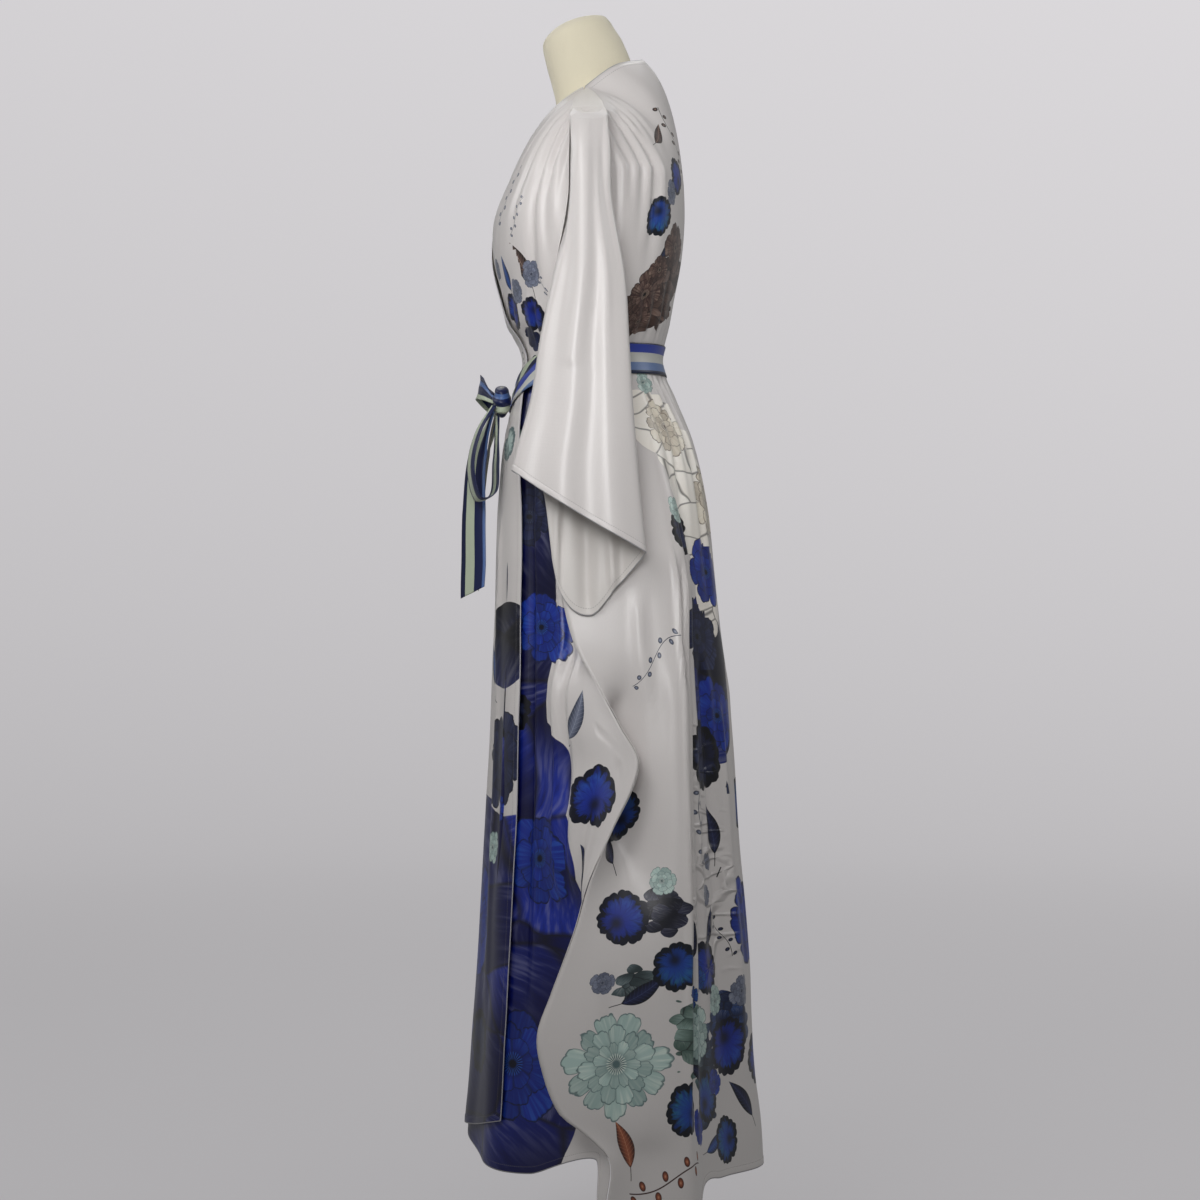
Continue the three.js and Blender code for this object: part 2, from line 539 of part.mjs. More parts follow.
function solidOf(geometry) {
  const bare = geometry.clone();
  for (const name of ["normal", "uv"]) bare.deleteAttribute(name);
  const merged = mergeVertices(bare, 1e-4);
  const index = merged.index.array;
  const triVerts = [];
  for (let i = 0; i < index.length; i += 3) {
    const [a, b, c] = [index[i], index[i + 1], index[i + 2]];
    if (a !== b && b !== c && c !== a) triVerts.push(a, b, c);
  }
  return new wasm.Manifold(
    new wasm.Mesh({ numProp: 3, vertProperties: merged.attributes.position.array, triVerts: new Uint32Array(triVerts) }),
  );
}

function geometryOf(solid) {
  const mesh = solid.getMesh();
  const geometry = new THREE.BufferGeometry();
  geometry.setAttribute("position", new THREE.Float32BufferAttribute(mesh.vertProperties, 3));
  geometry.setIndex(new THREE.Uint32BufferAttribute(mesh.triVerts, 1));
  return geometry;
}

const formGeometry = () => geometryOf(solidOf(trunkGeometry()).add(solidOf(neckGeometry())));

// A turned piece: profile points are [radius, height], from the axis round to the axis.
const turned = (profile, sides) =>
  new THREE.LatheGeometry(profile.map(([r, z]) => new THREE.Vector2(r, z)), sides).rotateX(Math.PI / 2);

function poleGeometry() {
  const foot = BASE.height + SEAM;
  const top = TRUNK[0].z - SEAM;
  const collar = foot + POLE.flangeHeight;
  const profile = [[0, foot], [POLE.flange, foot], [POLE.flange, collar], [POLE.radius, collar + 4], [POLE.radius, top]];
  return turned([...profile, [0, top]], 24);
}

function baseGeometry() {
  const bevel = 2;
  const rim = BASE.radius - bevel;
  const profile = [[0, 0], [rim, 0], [BASE.radius, bevel], [BASE.radius, BASE.edge], [rim - bevel, BASE.height]];
  return turned([...profile, [0, BASE.height]], 48);
}

const FINISHES = {
  silk: { color: 0xc9c5c2, roughness: 0.45, metalness: 0 },
  belt: { color: 0x4a5f96, roughness: 0.5, metalness: 0 },
  jersey: { color: 0xd7d0af, roughness: 0.85, metalness: 0 },
  steel: { color: 0xb8bbbe, roughness: 0.35, metalness: 0.9 },
};

const kaftan = new THREE.Group();

function add(name, geometry, finish) {
  const mesh = new THREE.Mesh(geometry, new THREE.MeshStandardMaterial(FINISHES[finish]));
  mesh.name = name;
  kaftan.add(mesh);
}

add("front_left", wall(frontGrid("under", true), CLOTH), "silk");
add("front_right", wall(mirrored(frontGrid("over", false)), CLOTH, false, true), "silk");
add("back", wall(backGrid(), CLOTH), "silk");
add("sleeve_left", wall(sleeveGrid(), CLOTH, true), "silk");
add("sleeve_right", wall(mirrored(sleeveGrid()), CLOTH, true, true), "silk");
add("belt_band", wall(beltGrid(), BELT.thick, true), "belt");
add("belt_knot", knotGeometry(), "belt");
for (const [name, { stations, steps }] of Object.entries(BOW))
  add(name, wall(ribbonGrid(stations, steps), BELT.thick), "belt");
add("form_body", formGeometry(), "jersey");
add("stand_pole", poleGeometry(), "steel");
add("stand_base", baseGeometry(), "steel");

export default kaftan;
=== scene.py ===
"""A wide-sleeved wrap kaftan with a tied ribbon belt, worn by a limbless dress form on a plain stand."""

from __future__ import annotations

import dataclasses
import logging
import math
import random
from dataclasses import dataclass, field
from enum import Enum
from functools import lru_cache
from typing import Callable, Iterable, Sequence, TypeVar

import bmesh
import bpy
import numpy as np
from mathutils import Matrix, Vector, noise

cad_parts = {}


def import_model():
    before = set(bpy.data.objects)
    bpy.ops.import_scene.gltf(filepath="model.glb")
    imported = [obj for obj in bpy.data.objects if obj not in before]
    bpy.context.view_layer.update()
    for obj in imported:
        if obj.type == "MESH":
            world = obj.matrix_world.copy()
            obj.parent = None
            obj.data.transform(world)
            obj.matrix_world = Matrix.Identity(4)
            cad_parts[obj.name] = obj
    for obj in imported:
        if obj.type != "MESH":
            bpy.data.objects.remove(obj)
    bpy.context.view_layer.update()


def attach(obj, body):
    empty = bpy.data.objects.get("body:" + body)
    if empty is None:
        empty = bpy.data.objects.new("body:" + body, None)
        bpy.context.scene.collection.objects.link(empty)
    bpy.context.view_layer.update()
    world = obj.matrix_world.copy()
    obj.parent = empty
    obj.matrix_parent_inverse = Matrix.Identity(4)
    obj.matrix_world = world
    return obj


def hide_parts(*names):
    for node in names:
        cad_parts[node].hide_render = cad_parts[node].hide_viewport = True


LOG = logging.getLogger("kaftan")
MM = 0.001
MERGE = 1e-6

Point = tuple[float, float, float]
Piece = bpy.types.Object
Material = bpy.types.Material
Socket = bpy.types.NodeSocket
Row = TypeVar("Row")


def table(kind: type[Row], *rows: tuple) -> tuple[Row, ...]:
    """A table of rows, each made into the given class."""
    return tuple(kind(*row) for row in rows)


# The gown's shape, in millimetres, as its construction has it


@dataclass(frozen=True)
class BodyRow:
    """One level of a body: the y of its front, back and sides, and half its width."""

    z: float
    front: float
    back: float
    side: float
    half: float


@dataclass(frozen=True)
class Section(BodyRow):
    """One level of the gown: the body, then the wing's reach, seam, turns, tuck and standing fold."""

    reach: float
    seam: float
    front_turn: float
    back_turn: float
    tuck: float
    fold: float


SECTIONS = table(
    Section,
    (60, -215, 196, -10, 224, 284, -24, -52, 26, 0.3, 86),
    (149, -213, 193, -10, 221, 282, -21, -48, 24, 0.3, 85),
    (204, -210, 190, -10, 219, 280, -18, -30, 20, 0.3, 84),
    (234, -207, 187, -11, 218, 278, -46, -18, 14, 0.1, 82),
    (260, -205, 184, -11, 217, 277, -79, -22, 0, 0, 81),
    (323, -201, 180, -11, 215, 275, -103, -34, -12, 0, 80),
    (360, -198, 178, -11, 213, 273, -106, -38, -14, 0, 79),
    (405, -195, 176, -12, 211, 270, -90, -34, -6, 0, 78),
    (485, -190, 169, -12, 207, 267, -60, -38, 6, 0.15, 77),
    (546, -186, 163, -13, 203, 265, -42, -62, 2, 0.55, 75),
    (608, -182, 158, -13, 200, 262, -14, -58, -22, 0.9, 73),
    (689, -178, 152, -14, 196, 256, 19, -44, -34, 1, 71),
    (735, -176, 148, -15, 193, 250, -3, -56, -28, 0.9, 70),
    (782, -174, 144, -16, 190, 242, -29, -64, 0, 0.55, 69),
    (844, -172, 136, -18, 184, 222, -63, -46, 4, 0.1, 68),
    (931, -169, 126, -21, 176, 208, -79, -58, -6, 0, 66),
    (1023, -165, 114, -28, 174, 196, -66, -70, -8, 0.3, 50),
    (1103, -157, 96, -34, 165, 173, -44, -70, -16, 0.5, 22),
    (1160, -145, 72, -38, 144, 144, -38, -62, -14, 0.5, 8),
    (1211, -133, 53, -40, 130, 130, -40, -62, -18, 0.5, 0),
    (1237, -139, 57, -41, 133, 133, -41, -66, -16, 0.5, 4),
    (1260, -152, 63, -41, 153, 153, -41, -66, -16, 0.5, 4),
    (1291, -161, 69, -42, 163, 163, -42, -68, -16, 0.5, 6),
    (1349, -174, 80, -42, 174, 174, -42, -70, -15, 0.5, 9),
    (1404, -170, 84, -42, 180, 180, -42, -70, -15, 0.5, 10),
    (1460, -146, 83, -42, 184, 184, -42, -68, -16, 0.5, 9),
)


@dataclass(frozen=True)
class WrapEdge:
    """The free edges of the two fronts at one height, as angles from the middle of the front."""

    z: float
    over: float
    under: float


WRAP_EDGES = table(
    WrapEdge,
    (60, 45, 30),
    (1000, 45, 30),
    (1103, 38, 28),
    (1211, 26, 22),
    (1291, 9, 9),
    (1349, 0, 0),
    (1404, -4, -4),
    (1460, -8, -8),
)


@dataclass(frozen=True)
class SleeveHead:
    """One row of the sleeve's head, which rises from the shoulder line by its lifts."""

    inner_x: float
    inner_lift: float
    outer_x: float
    outer_lift: float
    front: float
    back: float


@dataclass(frozen=True)
class SleeveHang:
    """One level of the hanging sleeve: the x of its two layers and the y of its two folds."""

    z: float
    inner: float
    outer: float
    front: float
    back: float


@dataclass(frozen=True)
class CuffPoint:
    """A point of the cuff's inner edge."""

    y: float
    z: float


SLEEVE_HEAD = table(
    SleeveHead,
    (78, 1.6, 187, 1.8, -51, -45),
    (98, 5, 199, 6, -59, -32),
    (146, 8, 212, 7, -64, -25),
    (188, 7, 223, 2, -67, -20),
)
SLEEVE_HANG = table(
    SleeveHang,
    (870, 222, 273, -151, 34),
    (953, 217, 271, -147, 29),
    (1055, 211, 267, -138, 18),
    (1142, 206, 262, -117, 11),
    (1213, 203, 257, -106, 7),
    (1299, 201, 251, -88, 2),
    (1399, 200, 243, -70, -16),
    (1462, 200, 234, -68, -18),
)
CUFF_INNER = table(
    CuffPoint,
    (-151, 1055),
    (-104, 1030),
    (-84, 915),
    (-43, 874),
    (-5, 912),
    (34, 953),
)
CUFF_FRONT, CUFF_BACK = 1055.0, 953.0

# The yoke rises from its section, then turns in over the shoulder.
YOKE_Z = 1450.0
YOKE_RISE = 0.8
YOKE_OVER = 0.6
PULL_FRONT, PULL_BACK = 0.4, 0.15
# How square the body's section is; 1 is an ellipse.
SQUARE = 0.85
HEM_RIPPLE, RIPPLES, RIPPLE_TOP = 12.0, 9, 1120.0
# The under front's inset, the angle where it ends, and the height where it has faded.
UNDERLAP, UNDERLAP_END, UNDERLAP_FADE = 5.0, 62.0, 12.0
UNDERLAP_TOP, UNDERLAP_TOP_FADE = 1400.0, 80.0
FRONT_SIDE, BACK_SIDE = 60.0, 130.0
WING_START = 30.0
# Where the wing's turns lie, as shares of its width: spread out, and tucked in.
FRONT_TURN, BACK_TURN = (0.35, 0.75), (1.0, 0.15)
CLOTH, SEAM = 1.2, 0.3
SHELL = 0.9
NECK_POINT: Point = (66, -50, 1572)
SHOULDER_END: Point = (186, -45, 1513)
NECK_BACK_SIDE: Point = (56, -14, 1601)
NAPE: Point = (0, 27, 1623)
HEMS = {
    "over": (226, 198, 183, 178, 190, 96),
    "under": (186, 178, 164, 164, 196, 96),
    "back": (96, 84, 88, 158, 156, 153, 152, 152),
}


def mix(a: float, b: float, share: float) -> float:
    """A number between a and b."""
    return a + (b - a) * share


def clamp(value: float, low: float = 0.0, high: float = 1.0) -> float:
    """The value, kept between low and high."""
    return max(low, min(high, value))


def blend(a: Point, b: Point, share: float) -> Point:
    """A point between a and b."""
    return tuple(mix(p, q, share) for p, q in zip(a, b))


@lru_cache(maxsize=400_000)
def row_at(rows: tuple[Row, ...], value: float, by: str = "z") -> Row:
    """A table's row at a place, each column on a smooth curve through the rows.

    Args:
        rows: rows of one dataclass, in rising order of the column looked up.
        value: the place.
        by: the column that is looked up.

    Returns:
        A row of the same class.
    """
    last = len(rows) - 1
    place = clamp(value, getattr(rows[0], by), getattr(rows[last], by))
    i = 0
    while i < last - 1 and getattr(rows[i + 1], by) < place:
        i += 1
    before, a, b, after = rows[max(i - 1, 0)], rows[i], rows[i + 1], rows[min(i + 2, last)]
    at_a, at_b = getattr(a, by), getattr(b, by)
    step = at_b - at_a
    t = (place - at_a) / step
    values = {by: value}
    for column in dataclasses.fields(a):
        key = column.name
        if key == by:
            continue
        va, vb = getattr(a, key), getattr(b, key)
        slope_a = slope_b = vb - va
        if a is not before:
            slope_a = (vb - getattr(before, key)) / (at_b - getattr(before, by)) * step
        if b is not after:
            slope_b = (getattr(after, key) - va) / (getattr(after, by) - at_a) * step
        values[key] = (
            (2 * t**3 - 3 * t**2 + 1) * va
            + (t**3 - 2 * t**2 + t) * slope_a
            + (3 * t**2 - 2 * t**3) * vb
            + (t**3 - t**2) * slope_b
        )
    return type(a)(**values)


def through(points: Sequence[Point], station: float) -> Point:
    """A centripetal curve through points, read at a station: 1.5 lies between points 1 and 2."""
    last = len(points) - 1
    i = min(int(clamp(station, 0, last)), last - 1)
    w = clamp(station, 0, last) - i
    p1, p2 = points[i], points[i + 1]
    p0 = points[i - 1] if i else tuple(2 * a - b for a, b in zip(p1, p2))
    p3 = points[i + 2] if i + 2 <= last else tuple(2 * b - a for a, b in zip(p1, p2))

    def gap(a: Point, b: Point) -> float:
        """The centripetal step between two points."""
        return sum((q - p) ** 2 for p, q in zip(a, b)) ** 0.25

    d1 = gap(p1, p2)
    d1 = d1 if d1 > 1e-4 else 1.0
    d0, d2 = gap(p0, p1), gap(p2, p3)
    d0 = d0 if d0 > 1e-4 else d1
    d2 = d2 if d2 > 1e-4 else d1
    out = []
    for a, b, c, d in zip(p0, p1, p2, p3):
        t1 = ((b - a) / d0 - (c - a) / (d0 + d1) + (c - b) / d1) * d1
        t2 = ((c - b) / d1 - (d - b) / (d1 + d2) + (d - c) / d2) * d1
        out.append(b + t1 * w + (-3 * b + 3 * c - 2 * t1 - t2) * w**2 + (2 * b - 2 * c + t1 + t2) * w**3)
    return tuple(out)


def body_point(row: BodyRow, angle: float, inset: float = 0.0) -> Point:
    """A point of a body's section: angle 0 is the middle of the front and 180 the middle of the back."""
    sine, cosine = math.sin(math.radians(angle)), math.cos(math.radians(angle))
    wide = row.half - inset
    deep = (row.side - row.front if cosine > 0 else row.back - row.side) - inset
    fade = clamp((RIPPLE_TOP - row.z) / RIPPLE_TOP) if isinstance(row, Section) else 0.0
    ripple = HEM_RIPPLE * fade * (math.cos(math.radians(angle * RIPPLES)) - 1) / 2
    return (
        math.copysign((wide + ripple) * abs(sine) ** SQUARE, sine),
        row.side - math.copysign((deep + ripple) * abs(cosine) ** SQUARE, cosine),
        row.z,
    )


def wing_point(row: Section, share: float, y: float, angle: float) -> Point:
    """A wing's point at a share of its width, which comes back to the body where there is no wing."""
    span = row.reach - row.half
    return blend(body_point(row, angle), (row.half + span * share, y, row.z), clamp(span / WING_START))


def wing_seam(row: Section, layer: int) -> Point:
    """The end of a layer at the wing seam; layer is -1 for a front and 1 for the back."""
    apart = (CLOTH + SEAM) / 2
    x, y, z = wing_point(row, 1, row.seam, 90)
    return (x + layer * (1 - 2 * row.tuck) * apart * 1.2, y + layer * apart * 0.7, z)


def on_shoulder(share: float) -> Point:
    """A place on the shoulder line, from the neck point to the shoulder end."""
    return blend(NECK_POINT, SHOULDER_END, share)


def shoulder_edge(share: float, side: int) -> Point:
    """A place at the shoulder seam, on the front's side (-1) or the back's (1)."""
    x, y, z = on_shoulder(share)
    return (x, y + side * (CLOTH + SEAM) * 0.45, z)


def yoke_point(start: Point, end: Point, pull: float, rise: float, share: float) -> Point:
    """A point between the yoke's section and the top edge."""
    over = (mix(start[0], end[0], YOKE_OVER), mix(start[1], end[1], pull), mix(start[2], end[2], rise))
    return blend(blend(start, over, share), blend(over, end, share), share)


@dataclass
class Panel:
    """A cut panel's surface, read at a station along its sections and a share of its height.

    Attributes:
        hem: the key of its hem's heights.
        pull: how far the yoke has come in when it has risen.
    """

    hem: str
    pull: float

    def section(self, z: float, station: float) -> Point:
        """A point of the section at one height."""
        raise NotImplementedError

    def top(self, station: float) -> Point:
        """A point of the top edge."""
        raise NotImplementedError

    def hem_at(self, station: float) -> float:
        """The hem's height at a station."""
        heights = HEMS[self.hem]
        return through([(i * 60.0, 0.0, float(z)) for i, z in enumerate(heights)], station)[2]

    def grid(self, stations: np.ndarray, rise: np.ndarray, yoke: np.ndarray) -> np.ndarray:
        """The surface's points.

        Args:
            stations: the columns.
            rise: rows from the hem (0) to the yoke (1).
            yoke: rows from the yoke (0, left out) to the top edge (1).

        Returns:
            An array of rows, columns and three coordinates, in millimetres.
        """
        points = np.zeros((len(rise) + len(yoke), len(stations), 3))
        for c, station in enumerate(stations):
            low = self.hem_at(station)
            for r, share in enumerate(rise):
                points[r, c] = self.section(round(mix(low, YOKE_Z, share), 2), station)
            start, end = points[len(rise) - 1, c].copy(), self.top(station)
            for r, share in enumerate(yoke):
                points[len(rise) + r, c] = yoke_point(tuple(start), end, self.pull, YOKE_RISE, share)
        return points


@dataclass
class FrontPanel(Panel):
    """A front on the wearer's left: stations 0 to 3 go round the body, 4 is the wing's turn, 5 its seam."""

    def section(self, z: float, station: float) -> Point:
        """A point of the section at one height."""
        row = row_at(SECTIONS, z)
        start = -getattr(row_at(WRAP_EDGES, z), self.hem)

        def body(angle: float) -> Point:
            """A point round the body, tucked under the other front where it laps."""
            round_body = clamp((UNDERLAP_END - angle) / UNDERLAP_FADE)
            inset = UNDERLAP * round_body * clamp((UNDERLAP_TOP - z) / UNDERLAP_TOP_FADE)
            return body_point(row, angle, inset if self.hem == "under" else 0.0)

        if station <= 3:
            return body(mix(start, FRONT_SIDE, station / 3))
        turn = wing_point(row, mix(*FRONT_TURN, row.tuck), row.front_turn, 76)
        return through([body(FRONT_SIDE - 12), body(FRONT_SIDE), turn, wing_seam(row, -1)], station - 2)

    def top(self, station: float) -> Point:
        """A point of the shoulder seam."""
        return shoulder_edge(station / 5, -1)


@dataclass
class BackPanel(Panel):
    """The back's left half: station 0 is the wing seam, 2 the standing fold and 7 the back's middle."""

    def section(self, z: float, station: float) -> Point:
        """A point of the section at one height."""
        row = row_at(SECTIONS, z)
        if station >= 4:
            return body_point(row, mix(BACK_SIDE, 180, (station - 4) / 3))
        return through(
            [
                wing_seam(row, 1),
                wing_point(row, mix(*BACK_TURN, row.tuck), row.back_turn, 101),
                wing_point(row, 0.6, row.fold, 112),
                wing_point(row, -0.1, row.fold + 18, 121),
                body_point(row, BACK_SIDE),
            ],
            station,
        )

    def top(self, station: float) -> Point:
        """A point of the shoulder seam or the neckline."""
        if station <= 5:
            return shoulder_edge(1 - station / 5, 1)
        return through([shoulder_edge(0.1, 1), shoulder_edge(0, 1), NECK_BACK_SIDE, NAPE], station - 4)


@dataclass
class SleevePanel:
    """A sleeve on the wearer's left: a flat tube, read round its section from 0 to 1 and down its length."""

    folds: int = 5
    fold_depth: float = 3.4
    square: float = 0.7

    def ridge(self, x: float) -> float:
        """The height of the shoulder line at an x."""
        share = (x - NECK_POINT[0]) / (SHOULDER_END[0] - NECK_POINT[0])
        return mix(NECK_POINT[2], SHOULDER_END[2], share)

    def loop(self, angle: float, inner: float, outer: float, front: float, back: float, fold: float) -> Point:
        """A point of the tube's section at height 0; angle 0 is its front fold and 180 its back one."""
        sine, cosine = math.sin(math.radians(angle)), math.cos(math.radians(angle))
        x = mix(inner, outer, 0.5 + 0.5 * math.copysign(abs(sine) ** self.square, sine))
        y = mix(back, front, 0.5 + 0.5 * cosine)
        wave = -fold * sine * math.cos(self.folds * math.pi * (0.5 + 0.5 * cosine)) if sine > 0 else 0.0
        return (x + wave, y, 0.0)

    def head_row(self, place: float, angle: float) -> Point:
        """A point of the sleeve's head; place 0 is the shoulder line and 1 its last row."""
        last = len(SLEEVE_HEAD) - 1
        i = min(int(place * last), last - 1)
        share = place * last - i
        a, b = SLEEVE_HEAD[i], SLEEVE_HEAD[i + 1]
        row = SleeveHead(
            *(mix(p, q, share) for p, q in zip(dataclasses.astuple(a), dataclasses.astuple(b)))
        )
        x, y, _ = self.loop(angle, row.inner_x, row.outer_x, row.front, row.back, 0.0)
        across = clamp((x - row.inner_x) / (row.outer_x - row.inner_x))
        return (x, y, self.ridge(x) + CLOTH * 0.5 + mix(row.inner_lift, row.outer_lift, across))

    def cuff_at(self, angle: float) -> float:
        """The cuff's height at an angle round the tube."""
        forward = 0.5 + 0.5 * math.cos(math.radians(angle))
        if angle <= 180:
            return mix(CUFF_BACK, CUFF_FRONT, forward)
        return row_at(CUFF_INNER, round(mix(CUFF_INNER[-1].y, CUFF_INNER[0].y, forward), 2), "y").z

    def hang_row(self, place: float, angle: float) -> Point:
        """A point of the hanging tube; place 0 is its top and 1 the cuff."""
        top = SLEEVE_HANG[-1].z
        z = round(mix(top, self.cuff_at(angle), place), 2)
        row = row_at(SLEEVE_HANG, z)
        deep = self.fold_depth * clamp((1500 - z) / 200)
        x, y, _ = self.loop(angle, row.inner, row.outer, row.front, row.back, deep)
        return (x, y, z)

    def grid(self, angles: np.ndarray, head: np.ndarray, hang: np.ndarray) -> np.ndarray:
        """The surface's points, row by row from the cuff up.

        Args:
            angles: the columns, in degrees.
            head: rows of the head, 0 to 1 from the shoulder line down.
            hang: rows of the hanging tube, 0 to 1 down to the cuff.

        Returns:
            An array of rows, columns and three coordinates, in millimetres.
        """
        rows = [[self.head_row(place, angle) for angle in angles] for place in head]
        rows += [[self.hang_row(place, angle) for angle in angles] for place in hang]
        return np.array(rows[::-1])


# Cloth: creases, hems and the flat coordinates that weave and print follow


BACK_STATIONS = 14
# A place far outside a motif's local square, and the step from one ink set's code to the next.
OUTSIDE = (9.0, 9.0, -1.0)
INK_STEP = 40


@dataclass(frozen=True)
class Place:
    """A place on a panel: its station along the section and its height in millimetres."""

    station: float
    z: float

    def across(self, rise: float = 0.0) -> Place:
        """The same place on the back's other half, a little higher."""
        return Place(BACK_STATIONS - self.station, self.z + rise)


@dataclass(frozen=True)
class Crease:
    """A soft trough or ridge between two places on a panel.

    Attributes:
        start: where it begins, sharpest.
        end: where it runs out.
        width: half width in millimetres.
        depth: height of the ridge in millimetres, negative for a trough.
        bow: how far its middle bends aside, in millimetres.
        lip: share of the depth that rises the other way beside it.
        keep: share of its length before it begins to fade.
    """

    start: Place
    end: Place
    width: float
    depth: float
    bow: float = 0.0
    lip: float = 0.35
    keep: float = 0.3


class Motif(Enum):
    """What a layer of the print draws in its local square."""

    BLOOM = "bloom"
    PETALS = "petals"
    POSY = "posy"
    LEAF = "leaf"
    SPRIG = "sprig"


class Dye(Enum):
    """Ink sets of the print, by their place in the shader's ramps."""

    ROYAL = 0
    NAVY = 1
    TEAL = 2
    SAGE = 3
    CREAM = 4
    UMBER = 5
    SLATE = 6
    RUST = 7


@dataclass(frozen=True)
class Stamp:
    """One printed motif.

    Attributes:
        motif: the layer it belongs to.
        at: its middle.
        size: its radius in millimetres, or half its length.
        dye: its ink set.
        petals: how many petals a bloom has.
        turn: its turn in degrees.
    """

    motif: Motif
    at: Place
    size: float
    dye: Dye
    petals: int = 6
    turn: float = 0.0

    @property
    def region(self) -> float:
        """The radius that the motif needs to itself, in millimetres."""
        return self.size * (1.5 if self.motif is Motif.LEAF else 1.1)


class Layer(Enum):
    """The washes' layers, by the size of what they are made of."""

    BROAD = "wash_broad"
    PLATES = "wash_plates"
    FOLIAGE = "wash_foliage"
    PRESSED = "pressed"


@dataclass(frozen=True)
class Wash:
    """A broad area of the design, filled with overlapping petals.

    Attributes:
        at: its middle.
        wide: half its width in millimetres.
        tall: half its height in millimetres.
        colour: its colour, in display values from 0 to 255.
        strength: how fully it covers.
        layer: how large its petals are; the pressed layer has only fine wrinkles.
    """

    at: Place
    wide: float
    tall: float
    colour: tuple[int, int, int]
    strength: float = 1.0
    layer: Layer = Layer.BROAD


def srgb(red: float, green: float, blue: float) -> tuple[float, float, float, float]:
    """A colour in display values from 0 to 255, as linear values with an alpha of 1."""

    def linear(value: float) -> float:
        """One channel, made linear."""
        share = value / 255
        return share / 12.92 if share <= 0.04045 else ((share + 0.055) / 1.055) ** 2.4

    return (linear(red), linear(green), linear(blue), 1.0)


# The distance from a free edge where that edge is sewn, and what a station counts for, in millimetres.
SEWN = 1e6
STATION = 400.0


def smooth(value: np.ndarray) -> np.ndarray:
    """An eased step from 0 to 1."""
    t = np.clip(value, 0, 1)
    return t * t * (3 - 2 * t)


